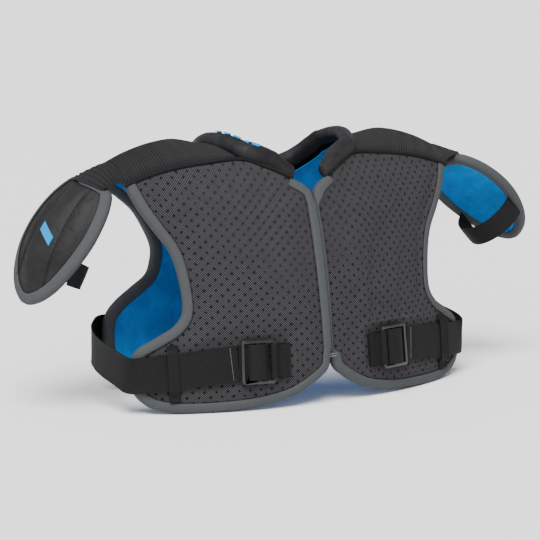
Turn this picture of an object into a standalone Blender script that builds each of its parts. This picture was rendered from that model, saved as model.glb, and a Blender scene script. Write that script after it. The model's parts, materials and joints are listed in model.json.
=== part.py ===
"""Soft hockey shoulder pads: a padded vest with a lifting chest, drooping arm caps and side straps.

Units are metres. +Z is up, -Y is the wearer's front and -X is the wearer's right. The vest
stands on its lower hems at z = 0. A panel is a sheet laid on a curved surface: its outline is
drawn flat, filled with triangles, and given a thickness along the surface's normal.
"""

import math

import bmesh
import bpy
from mathutils import Matrix, Vector
from mathutils.geometry import delaunay_2d_cdt

# ---------------------------------------------------------------- driving dimensions
GAP = 0.0003            # between pieces that touch
FRAME_SHIFT_X = -0.01476    # brings the middle of the whole vest to x = 0
FRAME_SHIFT_Y = 0.02657   # brings the middle of the whole vest to y = 0

CHEST_DEPTH = 0.128     # lower edge of the chest in front of the wearer's middle
BACK_DEPTH = 0.072      # back panel behind the wearer's middle
SEAM_ROOM = 0.0007      # from the middle to a chest half's edge
NOTCH_HEIGHT = 0.042    # where the two chest halves part below
NECK_POINT_HEIGHT = 0.228
COLLAR_END_REACH = 0.023
WING_REACH = 0.212      # centre to the end of a chest wing
BACK_WING_REACH = 0.190
ARMHOLE_REACH = 0.158
BACK_ARMHOLE_REACH = 0.127
SHOULDER_REACH = 0.205
NECK_REACH = 0.072      # centre to the neck's side at the front of the shoulder
BACK_NECK_REACH = 0.088
NECK_BULGE = 0.012
SHOULDER_HEIGHT = 0.262
SHOULDER_DROP = 0.022   # from the neck to the shoulder's tip
YOKE_CROWN = 0.020
YOKE_GAP = 0.0032       # between a yoke's edge and the panel sewn to it
BACK_NECK_HEIGHT = 0.226

COVER = 0.0012
FOAM = 0.0070
LINING = 0.0010
YOKE_BAND = 0.0022
BINDING_WIDTH = 0.011
BINDING_WALL = 0.0012
EDGE_ROOM = 0.0018      # from a binding's outside to the layers in it

STRAP_WIDTH = 0.038
STRAP_THICKNESS = 0.0014
STRAP_LIFT = 0.0020     # strap's inner face above the chest cover
SLIDER_INNER_X = 0.068
SLIDER_OUTER_X = 0.1025
SLIDER_BAR = 0.0032
SLIDER_HEIGHT = 0.052   # height of the slider's middle
SLIDER_LIFT = 0.0053
TAB_LENGTH = 0.019
KEEPER_X = 0.171
KEEPER_WIDTH = 0.012
KEEPER_FLOOR = 0.0140      # lowest a keeper's foot may reach, above the hem's tape
KEEPER_TOP = 0.0725        # highest a keeper's head may reach, below the armhole's tape
WING_STRAP_HEIGHT = 0.042
BACK_STRAP_HEIGHT = 0.066

CAP_LENGTH = 0.150
CAP_WIDTH = 0.098
CAP_NECK_WIDTH = 0.052
CAP_CROSS_RADIUS = 0.085
CAP_LONG_RADIUS = 0.170
CAP_FOAM = 0.0060
RIGHT_DROOP = math.radians(55)
LEFT_DROOP = math.radians(40)
RIGHT_TURN = math.radians(20)   # the right cap faces a little forwards
LEFT_TURN = math.radians(-27)   # the left cap's front edge is lifted, which shows its lining
LINK_LIFT = 0.0034        # link's end above the cap's binding
LINK_WEDGE = math.radians(9)
LOOP_WIDTH = 0.025
LOOP_THICKNESS = 0.0018
LOOP_DROP = 0.040
LOOP_PLACE = 0.68       # share of the cap's length

COLLAR_THICKNESS = 0.015
COLLAR_HEIGHT = 0.020
CHEST_LIFT_LIMIT = math.radians(16)

PITCH = 0.020           # spacing of the triangles inside a panel
EDGE_PITCH = 0.017

LAYERS = {
    "cover": (0.0, -COVER),
    "foam": (-COVER - GAP, -COVER - GAP - FOAM),
    "lining": (-COVER - FOAM - 2 * GAP, -COVER - FOAM - 2 * GAP - LINING),
}
PANEL_THICKNESS = COVER + FOAM + LINING + 2 * GAP


# ---------------------------------------------------------------- scene and materials
for old in list(bpy.data.objects):
    bpy.data.objects.remove(old, do_unlink=True)

frame_origin = bpy.data.objects.new("frame_origin", None)
frame_origin.location = (FRAME_SHIFT_X, FRAME_SHIFT_Y, 0.0)
bpy.context.collection.objects.link(frame_origin)


def pivot(name, place):
    """Empty on a joint's axis; the pieces that turn about the axis are its children."""
    empty = bpy.data.objects.new(name, None)
    empty.location = place
    empty.parent = frame_origin
    bpy.context.collection.objects.link(empty)
    return empty


def finish_node(name, mesh, colour, roughness, parent, metallic=0.0):
    """Puts a mesh drawn in the vest's frame under its parent, with its own material."""
    material = bpy.data.materials.new(name + "_material")
    material.use_nodes = True
    shader = material.node_tree.nodes["Principled BSDF"]
    shader.inputs["Base Color"].default_value = (*colour, 1.0)
    shader.inputs["Roughness"].default_value = roughness
    shader.inputs["Metallic"].default_value = metallic
    mesh.materials.append(material)
    node = bpy.data.objects.new(name, mesh)
    bpy.context.collection.objects.link(node)
    node.parent = parent
    if parent is not frame_origin:
        mesh.transform(Matrix.Translation(-parent.location))
    return node


CHARCOAL = (0.055, 0.052, 0.055)
RIB_GREY = (0.035, 0.034, 0.036)
BINDING_GREY = (0.12, 0.125, 0.13)
BLACK = (0.012, 0.012, 0.013)
BLUE = (0.0, 0.12, 0.32)
FOAM_WHITE = (0.75, 0.75, 0.72)
CYAN = (0.0, 0.42, 0.80)


# ---------------------------------------------------------------- surfaces of the vest
def smooth(value):
    """Smooth step from 0 to 1."""
    value = min(1.0, max(0.0, value))
    return value * value * (3.0 - 2.0 * value)


def eased(value, radius):
    """Straight rise that starts level, round a radius."""
    return math.sqrt(value * value + radius * radius) - radius


def chest_surface(side):
    """Outside of a chest half: flat coordinates are the distance from the middle and the height."""
    def place(across, height):
        reach = max(0.0, across)
        leaning = 0.098 * eased(height, 0.015) + 1.955 * height ** 3
        leaning += 8.0 * max(0.0, height - 0.235) ** 2
        wrap = 0.16 * eased(reach, 0.012)
        wrap += 3.3 * reach ** 3 * (1.0 - 0.75 * smooth((height - 0.110) / 0.130))
        return Vector((side * across, -CHEST_DEPTH + leaning + wrap, height))
    return place


def back_surface(across, height):
    """Outside of the back panel; flat coordinates are the place along X and the height."""
    reach = abs(across)
    rounding = 0.033 * (max(0.0, height - 0.160) / 0.102) ** 2.5
    return Vector((across, BACK_DEPTH - 0.06 * reach - 1.2 * reach ** 3 - rounding, height))


def surface_normal(place, a, b, outward):
    """Normal of a surface at flat coordinates, turned to the side of the outward direction."""
    step = 0.0005
    along = place(a + step, b) - place(a - step, b)
    up = place(a, b + step) - place(a, b - step)
    normal = along.cross(up).normalized()
    return normal if normal.dot(outward) > 0 else -normal


def raised(place, a, b, lift, outward):
    """Point of a surface, lifted off it along the normal."""
    return place(a, b) + surface_normal(place, a, b, outward) * lift


# ---------------------------------------------------------------- flat outlines
def smooth_run(points, pitch, closed=False):
    """Catmull-Rom curve through points, cut into pieces no longer than the pitch."""
    points = [Vector(p) for p in points]
    count = len(points)
    result = []
    spans = count if closed else count - 1
    for i in range(spans):
        if closed:
            p0, p1, p2, p3 = (points[(i + k) % count] for k in (-1, 0, 1, 2))
        else:
            p1, p2 = points[i], points[i + 1]
            p0 = points[i - 1] if i > 0 else p1 * 2 - p2
            p3 = points[i + 2] if i + 2 < count else p2 * 2 - p1
        pieces = max(1, round((p2 - p1).length / pitch))
        for k in range(pieces):
            t = k / pieces
            result.append(0.5 * (2 * p1 + (p2 - p0) * t + (2 * p0 - 5 * p1 + 4 * p2 - p3) * t ** 2
                                 + (3 * p1 - p0 - 3 * p2 + p3) * t ** 3))
    if not closed:
        result.append(points[-1].copy())
    return result


def inset_run(points, distance, closed=False, sense=1.0):
    """Outline moved sideways by a distance, to its left when the sense is positive."""
    result = []
    count = len(points)
    for i, p in enumerate(points):
        before = points[(i - 1) % count] if closed or i > 0 else p
        after = points[(i + 1) % count] if closed or i + 1 < count else p
        into = (p - before).normalized() if (p - before).length > 1e-9 else (after - p).normalized()
        out = (after - p).normalized() if (after - p).length > 1e-9 else into
        way = (into + out).normalized()
        left = Vector((-way.y, way.x)) * sense
        stretch = 1.0 / max(0.5, left.dot(Vector((-into.y, into.x)) * sense))
        result.append(p + left * distance * stretch)
    return result


def inside(point, outline):
    """Whether a flat point lies inside an outline."""
    hit = False
    for p, q in zip(outline, outline[1:] + outline[:1]):
        if (p.y > point.y) != (q.y > point.y):
            if point.x < p.x + (q.x - p.x) * (point.y - p.y) / (q.y - p.y):
                hit = not hit
    return hit


def clearance(point, lines):
    """Distance from a flat point to the nearest of some polylines."""
    best = 1.0
    for line in lines:
        for p, q in zip(line, line[1:]):
            along = q - p
            share = max(0.0, min(1.0, (point - p).dot(along) / max(1e-12, along.length_squared)))
            best = min(best, (point - p - along * share).length)
    return best


def fill(outline, inner_lines=(), holes=(), pitch=PITCH):
    """Triangles that fill an outline, with lines that the triangles keep to, less the holes."""
    points, edges = [], []

    def add(line, closed):
        first = len(points)
        points.extend(line)
        edges.extend((first + i, first + i + 1) for i in range(len(line) - 1))
        if closed:
            edges.append((first + len(line) - 1, first))

    add(outline, True)
    for line in inner_lines:
        add(line, False)
    for hole in holes:
        add(hole, True)
    lines = [list(outline) + [outline[0]]] + list(inner_lines) + [list(h) + [h[0]] for h in holes]
    low_x, high_x = min(p.x for p in outline), max(p.x for p in outline)
    low_y, high_y = min(p.y for p in outline), max(p.y for p in outline)
    columns, rows = int((high_x - low_x) / pitch), int((high_y - low_y) / pitch)
    for i in range(columns + 1):
        for j in range(rows + 1):
            point = Vector((low_x + (i + 0.5 * (j % 2)) * pitch, low_y + (j + 0.5) * pitch))
            if inside(point, outline) and clearance(point, lines) > 0.6 * pitch:
                points.append(point)
    flat, _, faces, *_ = delaunay_2d_cdt(points, edges, [], 0, 1e-7)
    kept = []
    for face in faces:
        middle = (flat[face[0]] + flat[face[1]] + flat[face[2]]) / 3
        if inside(middle, outline) and not any(inside(middle, hole) for hole in holes):
            kept.append(tuple(face))
    return [Vector(p) for p in flat], kept


# ---------------------------------------------------------------- solids
def solid(vertices, faces):
    """Closed mesh with its faces pointing out."""
    work = bmesh.new()
    points = [work.verts.new(v) for v in vertices]
    for face in faces:
        work.faces.new([points[i] for i in face])
    loose = [v for v in work.verts if not v.link_faces]
    bmesh.ops.delete(work, geom=loose, context="VERTS")
    bmesh.ops.recalc_face_normals(work, faces=work.faces)
    if work.calc_volume(signed=True) < 0:
        bmesh.ops.reverse_faces(work, faces=work.faces)
    mesh = bpy.data.meshes.new("solid")
    work.to_mesh(mesh)
    work.free()
    return mesh


def sheet(flat, triangles, place, outer, inner, outward):
    """Solid between two levels of a surface: its outside, its inside and the rim joining them."""
    top = [raised(place, p.x, p.y, outer, outward) for p in flat]
    low = [raised(place, p.x, p.y, inner, outward) for p in flat]
    count = len(flat)
    used = {}
    for tri in triangles:
        for p, q in zip(tri, tri[1:] + tri[:1]):
            used[(p, q)] = used.get((p, q), 0) + 1
    faces = list(triangles) + [tuple(i + count for i in reversed(tri)) for tri in triangles]
    for p, q in used:
        if (q, p) not in used:
            faces.append((q, p, p + count, q + count))
    return solid(top + low, faces)


def grid_solid(rows_outer, rows_inner):
    """Solid between two grids of points with the same numbers of rows and columns."""
    rows, columns = len(rows_outer), len(rows_outer[0])
    vertices = [p for row in rows_outer for p in row] + [p for row in rows_inner for p in row]
    size = rows * columns
    faces = []
    for i in range(rows - 1):
        for j in range(columns - 1):
            a, b = i * columns + j, (i + 1) * columns + j
            faces.append((a, a + 1, b + 1))
            faces.append((a, b + 1, b))
            faces.append((size + a, size + b + 1, size + a + 1))
            faces.append((size + a, size + b, size + b + 1))
    rim = [j for j in range(columns)]
    rim += [i * columns + columns - 1 for i in range(1, rows)]
    rim += [(rows - 1) * columns + j for j in range(columns - 2, -1, -1)]
    rim += [i * columns for i in range(rows - 2, 0, -1)]
    for p, q in zip(rim, rim[1:] + rim[:1]):
        faces.append((p, q, size + q, size + p))
    return solid(vertices, faces)


def sweep_solid(rings, closed=False):
    """Solid through rings of points that match one another, with flat ends unless closed."""
    size = len(rings[0])
    vertices = [p for ring in rings for p in ring]
    faces = []
    spans = len(rings) if closed else len(rings) - 1
    for i in range(spans):
        a, b = i * size, ((i + 1) % len(rings)) * size
        for j in range(size):
            k = (j + 1) % size
            faces.append((a + j, a + k, b + k))
            faces.append((a + j, b + k, b + j))
    if not closed:
        faces.append(tuple(range(size)))
        faces.append(tuple((len(rings) - 1) * size + j for j in range(size)))
    return solid(vertices, faces)


def binding_solid(run, place, outward, thickness, closed=False, sense=1.0):
    """Tape folded round a panel's edge: a channel whose two legs lie on the panel's faces."""
    wall, room = BINDING_WALL, 0.3 * BINDING_WALL
    top, low = GAP, -thickness - GAP
    section = (
        (BINDING_WIDTH, top + wall), (room, top + wall), (0.0, top + wall - room),
        (0.0, low - wall + room), (room, low - wall), (BINDING_WIDTH, low - wall),
        (BINDING_WIDTH, low), (wall, low), (wall, top), (BINDING_WIDTH, top),
    )
    lines = {inset: inset_run(run, inset, closed, sense) for inset, _ in section}
    rings = [
        [raised(place, lines[inset][i].x, lines[inset][i].y, lift, outward) for inset, lift in section]
        for i in range(len(run))
    ]
    return sweep_solid(rings, closed)


# ---------------------------------------------------------------- chest halves
CHEST_NECK = [(NECK_REACH, SHOULDER_HEIGHT), (0.047, 0.2535), (COLLAR_END_REACH, 0.2425)]
CHEST_RUN = [
    (NECK_REACH, SHOULDER_HEIGHT), (0.047, 0.2535), (COLLAR_END_REACH, 0.2425),
    (0.0075, 0.2330), (0.0014, NECK_POINT_HEIGHT - 0.004), (SEAM_ROOM, 0.208), (SEAM_ROOM, 0.150),
    (SEAM_ROOM, 0.095), (0.0012, NOTCH_HEIGHT + 0.010), (0.005, NOTCH_HEIGHT - 0.004),
    (0.016, 0.0285), (0.034, 0.0175), (0.056, 0.0090), (0.098, 0.0020), (0.156, 0.0),
    (0.186, 0.0035), (0.201, 0.0110), (WING_REACH - 0.002, 0.0230), (WING_REACH, 0.042),
    (WING_REACH - 0.001, 0.058), (0.203, 0.0700), (0.184, 0.0820), (0.167, 0.0935),
    (ARMHOLE_REACH, 0.1100), (ARMHOLE_REACH + 0.002, 0.143), (ARMHOLE_REACH + 0.009, 0.170),
    (0.182, 0.194), (0.195, 0.216), (SHOULDER_REACH, SHOULDER_HEIGHT - SHOULDER_DROP),
]
YOKE_LINE = [
    (SHOULDER_REACH, SHOULDER_HEIGHT - SHOULDER_DROP), (0.180, 0.2485), (0.148, 0.2555),
    (0.110, 0.2600), (NECK_REACH, SHOULDER_HEIGHT),
]


TIP_TUCK = 0.04         # share of its last stretch that the layers' edge stops short of the tip


def chest_flat():
    """Flat outline of a chest half's layers, its bound run and the line its binding keeps to."""
    neck = smooth_run(CHEST_NECK, EDGE_PITCH)
    run = smooth_run(CHEST_RUN, EDGE_PITCH)
    run = run[len(neck) - 1:]
    edge = inset_run(run, EDGE_ROOM)
    shoulder = smooth_run(YOKE_LINE, 0.022)
    shoulder = inset_run(shoulder, 0.5 * GAP)
    collar_side = inset_run(neck, EDGE_ROOM)
    outline = collar_side[1:-1] + edge[:-1] + [edge[-1].lerp(edge[-2], TIP_TUCK)] + shoulder[1:-1]
    outline.append(collar_side[0] + Vector((0.0004, -0.0010)))
    ring = inset_run(run, BINDING_WIDTH)
    ring[-1] = ring[-1].lerp(ring[-2], 0.1)
    return outline, run, ring


def chest_half(name, side, parent):
    """Cover, foam and lining of a chest half, and the tape bound round its free edge."""
    place, outward = chest_surface(side), Vector((0, -1, 0.5))
    outline, run, ring = chest_flat()
    flat, triangles = fill(outline, [ring])
    looks = {"cover": (CHARCOAL, 0.8), "foam": (FOAM_WHITE, 0.9), "lining": (BLUE, 0.85)}
    for layer, (outer, inner) in LAYERS.items():
        mesh = sheet(flat, triangles, place, outer, inner, outward)
        finish_node(f"{name}_chest_{layer}", mesh, *looks[layer], parent)
    mesh = binding_solid(run, place, outward, PANEL_THICKNESS)
    finish_node(f"{name}_chest_binding", mesh, BINDING_GREY, 0.7, parent)


# ---------------------------------------------------------------- back panel
BACK_HALF = [
    (0.202, 0.2420), (0.194, 0.2310), (0.176, 0.2190), (0.152, 0.2000), (0.135, 0.1760),
    (BACK_ARMHOLE_REACH - 0.001, 0.1560), (BACK_ARMHOLE_REACH, 0.1400),
    (0.133, 0.1260), (0.150, 0.1150), (0.171, 0.1020), (0.184, 0.0900),
    (BACK_WING_REACH, 0.0750), (BACK_WING_REACH, 0.0500), (BACK_WING_REACH - 0.006, 0.0260),
    (0.172, 0.0080), (0.150, 0.0006), (0.130, 0.0), (0.065, 0.0),
]
BACK_YOKE_LINE = [
    (BACK_NECK_REACH, 0.2660), (0.115, 0.2655), (0.150, 0.2610), (0.180, 0.2520), (0.202, 0.2420),
]
BACK_NECK = [
    (0.0, BACK_NECK_HEIGHT), (0.030, 0.2285), (0.056, 0.2380), (0.076, 0.2530),
    (BACK_NECK_REACH, 0.2660),
]


def back_panel(parent):
    """Cover, foam and lining of the back, and the tape bound round its arms and lower hem."""
    outward = Vector((0, 1, 0.5))
    half = [Vector(p) for p in BACK_HALF]
    whole = [Vector((-p.x, p.y)) for p in half] + [Vector(p) for p in reversed(half)]
    run = smooth_run(whole, EDGE_PITCH)
    edge = inset_run(run, EDGE_ROOM)
    shoulder = [Vector(p) for p in BACK_YOKE_LINE]
    right_shoulder = inset_run(smooth_run(shoulder, 0.022), 0.5 * GAP, sense=-1.0)
    neck = smooth_run([Vector((-p[0], p[1])) for p in reversed(BACK_NECK)]
                      + [Vector(p) for p in BACK_NECK[1:]], 0.022)
    neck = inset_run(neck, 0.0012, sense=-1.0)
    tuck = Vector((0.0, -0.0008))
    top = [p + tuck for p in reversed(right_shoulder[1:-1])]
    top += [p for p in reversed(neck[1:-1])]
    top += [Vector((-p.x, p.y)) + tuck for p in right_shoulder[1:-1]]
    outline = [edge[0].lerp(edge[1], 0.2)] + edge[1:-1] + [edge[-1].lerp(edge[-2], 0.2)] + top
    ring = inset_run(run, BINDING_WIDTH)[1:-1]
    flat, triangles = fill(outline, [ring], pitch=0.024)
    looks = {"cover": (CHARCOAL, 0.8), "foam": (FOAM_WHITE, 0.9), "lining": (BLUE, 0.85)}
    for layer, (outer, inner) in LAYERS.items():
        mesh = sheet(flat, triangles, back_surface, outer, inner, outward)
        finish_node(f"back_{layer}", mesh, *looks[layer], parent)
    mesh = binding_solid(run, back_surface, outward, PANEL_THICKNESS)
    finish_node("back_binding", mesh, BINDING_GREY, 0.7, parent)


# ---------------------------------------------------------------- yokes over the shoulders
def along_line(points, share):
    """Point at a share of the length of a smooth line through flat points."""
    line = smooth_run(points, 0.010)
    lengths = [(q - p).length for p, q in zip(line, line[1:])]
    left = max(0.0, min(1.0, share)) * sum(lengths)
    for p, q, length in zip(line, line[1:], lengths):
        if left <= length:
            return p.lerp(q, left / length)
        left -= length
    return line[-1]


def yoke_surface(side):
    """Outside of a yoke: coordinates run from the neck to the tip, and from front to back."""
    chest = chest_surface(side)
    front_line = list(reversed(YOKE_LINE))

    def place(a, b):
        front, rear = along_line(front_line, a), along_line(BACK_YOKE_LINE, a)
        start, end = chest(front.x, front.y), back_surface(side * rear.x, rear.y)
        arch = 4.0 * b * (1.0 - b)
        crown = YOKE_CROWN * (0.55 + 0.45 * smooth(a / 0.4))
        point = start.lerp(end, b)
        return point + Vector((side * NECK_BULGE * arch * (1.0 - a), 0, crown * arch))
    return place


def grid_layer(place, rows, columns, outer, inner, outward, step=0.01):
    """Solid between two levels of a surface over a grid of its own coordinates."""
    def level(lift):
        grid = []
        for i, a in enumerate(rows):
            grid.append([])
            for b in columns(i) if callable(columns) else columns:
                along = place(a + step, b) - place(a - step, b)
                up = place(a, b + step) - place(a, b - step)
                normal = along.cross(up).normalized()
                normal = normal if normal.dot(outward) > 0 else -normal
                grid[-1].append(place(a, b) + normal * lift)
        return grid
    return grid_solid(level(outer), level(inner))


def spread(low, high, count):
    return [low + (high - low) * i / (count - 1) for i in range(count)]


YOKE_DEPTH = 0.072      # about the length from a yoke's front edge to its rear edge
YOKE_ROWS = spread(0.012, 0.997, 9)
YOKE_COLUMNS = spread(YOKE_GAP / YOKE_DEPTH, 1 - YOKE_GAP / YOKE_DEPTH, 9)
YOKE_INNER_COLUMNS = spread(0.13, 0.86, 7)


def yoke(name, side, parent):
    """Ribbed band, foam and lining over one shoulder."""
    place, up = yoke_surface(side), Vector((0, 0, 1))
    low = -YOKE_BAND - GAP
    layers = (
        ("band", 0.0, -YOKE_BAND, RIB_GREY, 0.75),
        ("foam", low, low - FOAM, FOAM_WHITE, 0.9),
        ("lining", low - FOAM - GAP, low - FOAM - GAP - LINING, BLUE, 0.85),
    )
    for layer, outer, inner, colour, roughness in layers:
        columns = YOKE_COLUMNS if layer == "band" else YOKE_INNER_COLUMNS
        mesh = grid_layer(place, YOKE_ROWS, columns, outer, inner, up)
        finish_node(f"{name}_yoke_{layer}", mesh, colour, roughness, parent)


# ---------------------------------------------------------------- collar
def collar_path(side):
    """Places on one side of the neck's edge with their outward normals, from the V to the back."""
    chest, over = chest_surface(side), yoke_surface(side)
    result = []
    for p in smooth_run(list(reversed(CHEST_NECK)), 0.011):
        result.append((chest(p.x, p.y), surface_normal(chest, p.x, p.y, Vector((0, -1, 0.5)))))
    split = len(result) - 1
    for b in (0.16, 0.33, 0.5, 0.67, 0.84):
        along = over(0.02, b) - over(0.0, b)
        up = over(0.0, b + 0.02) - over(0.0, b - 0.02)
        normal = along.cross(up).normalized()
        result.append((over(0.0, b), normal if normal.z > 0 else -normal))
    for p in smooth_run(list(reversed(BACK_NECK)), 0.018):
        flat = Vector((side * p.x, p.y))
        normal = surface_normal(back_surface, flat.x, flat.y, Vector((0, 1, 0.5)))
        result.append((back_surface(flat.x, flat.y), normal))
    return result, split


def collar_rings(side):
    """Oval rings along one side of the neck, standing off its edge, and the ring at the shoulder."""
    path, split = collar_path(side)
    places = [p for p, _ in path]
    normals = [n for _, n in path]
    last = len(places) - 1
    for _ in range(3):
        normals = [
            (normals[max(0, i - 1)] + normals[i] * 2 + normals[min(last, i + 1)]).normalized()
            for i in range(last + 1)
        ]
    normals[last].x = 0.0
    rings = []
    for i, point in enumerate(places):
        along = places[min(i + 1, last)] - places[max(i - 1, 0)]
        if i == last:
            along = Vector((side, 0, 0))
        into = along.cross(normals[i]).normalized()
        if into.dot(Vector((0, -0.005, SHOULDER_HEIGHT)) - point) < 0:
            into = -into
        tilt = math.radians(8 + 26 * smooth(i / split)) if i < split else math.radians(
            12 + 22 * smooth((last - i) / (last - split)))
        size = 0.55 + 0.45 * smooth(2.2 * i / split)
        rise = into * math.cos(tilt) + normals[i] * math.sin(tilt)
        thick = normals[i] * math.cos(tilt) - into * math.sin(tilt)
        half_rise, half_thick = 0.5 * COLLAR_HEIGHT * size, 0.5 * COLLAR_THICKNESS * size
        middle = point + rise * (half_rise + 0.0012) - thick * 0.002
        ring = []
        for k in range(10):
            turn = 2 * math.pi * (k + 0.5) / 10
            ring.append(middle + rise * half_rise * math.cos(turn) + thick * half_thick * math.sin(turn))
        rings.append(ring)
    return rings, split


def collar(chest_parent, back_parent):
    """Padded roll round the neck: a piece on each chest half and one behind, shoulder to shoulder."""
    right, split = collar_rings(-1)
    left, _ = collar_rings(1)
    for name, rings in (("right", right), ("left", left)):
        front = rings[:split + 1]
        front[-1] = [
            p - Vector((0, max(0.0, p.z - SHOULDER_HEIGHT) * math.tan(CHEST_LIFT_LIMIT) + 0.0008, 0))
            for p in front[-1]
        ]
        finish_node(f"{name}_collar_front", sweep_solid(front), RIB_GREY, 0.6, chest_parent)
    whole = right[split:-1] + list(reversed(left[split:]))
    finish_node("back_collar", sweep_solid(whole), RIB_GREY, 0.6, back_parent)


# ---------------------------------------------------------------- straps, keepers and sliders
STRAP_STATIONS = spread(0.1066, 0.2020, 6)


def strap_path(side):
    """Places along a side strap from the slider to the back, each with the strap's upward way."""
    chest, low_lift = chest_surface(side), STRAP_LIFT + 0.5 * STRAP_THICKNESS
    upright = Vector((0, 0, 1))
    stations = []
    for x in STRAP_STATIONS:
        share = (x - STRAP_STATIONS[0]) / (STRAP_STATIONS[-1] - STRAP_STATIONS[0])
        z = SLIDER_HEIGHT + (WING_STRAP_HEIGHT - SLIDER_HEIGHT) * share
        lean = (chest(x, z + 0.01) - chest(x, z - 0.01)).normalized()
        lift = low_lift + 0.0006 * smooth((x - 0.185) / 0.02)
        stations.append((raised(chest, x, z, lift, Vector((0, -1, 0))), lean))
    wing = chest(WING_REACH, WING_STRAP_HEIGHT)
    round_wing = raised(chest, WING_REACH, WING_STRAP_HEIGHT, low_lift + 0.0016, Vector((0, -1, 0)))
    stations.append((round_wing, upright))
    rear = back_surface(BACK_WING_REACH, BACK_STRAP_HEIGHT)
    reach = WING_REACH + 0.0080
    across = (
        (WING_REACH + 0.0064, wing.y + 0.0070), (reach, wing.y + 0.0260), (reach, -0.010),
        (reach - 0.0020, 0.0100), (reach - 0.0080, 0.0300), (BACK_WING_REACH + 0.0120, rear.y - 0.0070),
    )
    for i, (x, y) in enumerate(across):
        share = (i + 1) / (len(across) + 1)
        z = WING_STRAP_HEIGHT + (BACK_STRAP_HEIGHT - WING_STRAP_HEIGHT) * share
        stations.append((Vector((side * x, y, z)), upright))
    for x in spread(BACK_WING_REACH - 0.001, BACK_WING_REACH - 0.047, 4):
        place = raised(back_surface, side * x, BACK_STRAP_HEIGHT, low_lift + 0.0004, Vector((0, 1, 0)))
        stations.append((place, upright))
    return stations


def strap_rings(stations):
    """Flat rings across a strap whose middle line runs through the stations."""
    rings = []
    for i, (point, upright) in enumerate(stations):
        ahead = stations[min(i + 1, len(stations) - 1)][0]
        behind = stations[max(i - 1, 0)][0]
        out = (ahead - behind).cross(upright).normalized() * 0.5 * STRAP_THICKNESS
        edge = upright * 0.5 * STRAP_WIDTH
        rings.append([point + out + edge, point + out - edge, point - out - edge, point - out + edge])
    return rings


def side_strap(name, side, chest_parent, back_parent):
    """Elastic side strap, parted halfway round the side where the chest lifts off the back."""
    stations = strap_path(side)
    cut = len(STRAP_STATIONS) + 4
    rings = strap_rings(stations)
    before, after = rings[cut - 1], rings[cut]
    middle = [p.lerp(q, 0.5) for p, q in zip(before, after)]
    slack = Vector((0, 0.5 * GAP, 0))
    front = rings[:cut] + [[p - slack for p in middle]]
    rear = [[p + slack for p in middle]] + rings[cut:]
    finish_node(f"{name}_strap_front", sweep_solid(front), BLACK, 0.8, chest_parent)
    finish_node(f"{name}_strap_rear", sweep_solid(rear), BLACK, 0.8, back_parent)


def keeper(name, side, parent):
    """Narrow loop sewn over the strap near the wing."""
    place, outward = chest_surface(side), Vector((0, -1, 0))
    share = (KEEPER_X - STRAP_STATIONS[0]) / (STRAP_STATIONS[-1] - STRAP_STATIONS[0])
    middle = SLIDER_HEIGHT + (WING_STRAP_HEIGHT - SLIDER_HEIGHT) * share
    half, over = 0.5 * STRAP_WIDTH, STRAP_LIFT + STRAP_THICKNESS + 0.0006
    foot = max(-half - 0.0120, KEEPER_FLOOR - middle)
    head = min(half + 0.0076, KEEPER_TOP - middle)
    profile = (
        (foot, 0.0004), (-half - 0.0060, 0.0005), (-half - 0.0020, over), (0.0, over),
        (half + 0.0018, over), (min(half + 0.0042, head - 0.0015), 0.0005), (head, 0.0004),
    )
    rings = []
    for rise, lift in profile:
        corners = ((-1, lift + 0.0008), (1, lift + 0.0008), (1, lift), (-1, lift))
        rings.append([
            raised(place, KEEPER_X + 0.5 * KEEPER_WIDTH * way, middle + rise, level, outward)
            for way, level in corners
        ])
    finish_node(f"{name}_strap_keeper", sweep_solid(rings), BLACK, 0.8, parent)


def slider_plane(side):
    """Maps a place along the strap, off the chest and up to a point near the slider."""
    chest = chest_surface(side)
    middle_x = 0.5 * (SLIDER_INNER_X + SLIDER_OUTER_X)
    middle = chest(middle_x, SLIDER_HEIGHT)
    across = (chest(middle_x + 0.01, SLIDER_HEIGHT) - chest(middle_x - 0.01, SLIDER_HEIGHT)).normalized()
    out = surface_normal(chest, middle_x, SLIDER_HEIGHT, Vector((0, -1, 0)))
    upright = across.cross(out) * (1 if across.cross(out).z > 0 else -1)

    def place(u, n, v=0.0):
        return middle + across * u + out * n + upright * v
    return place, across, out, upright


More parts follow.
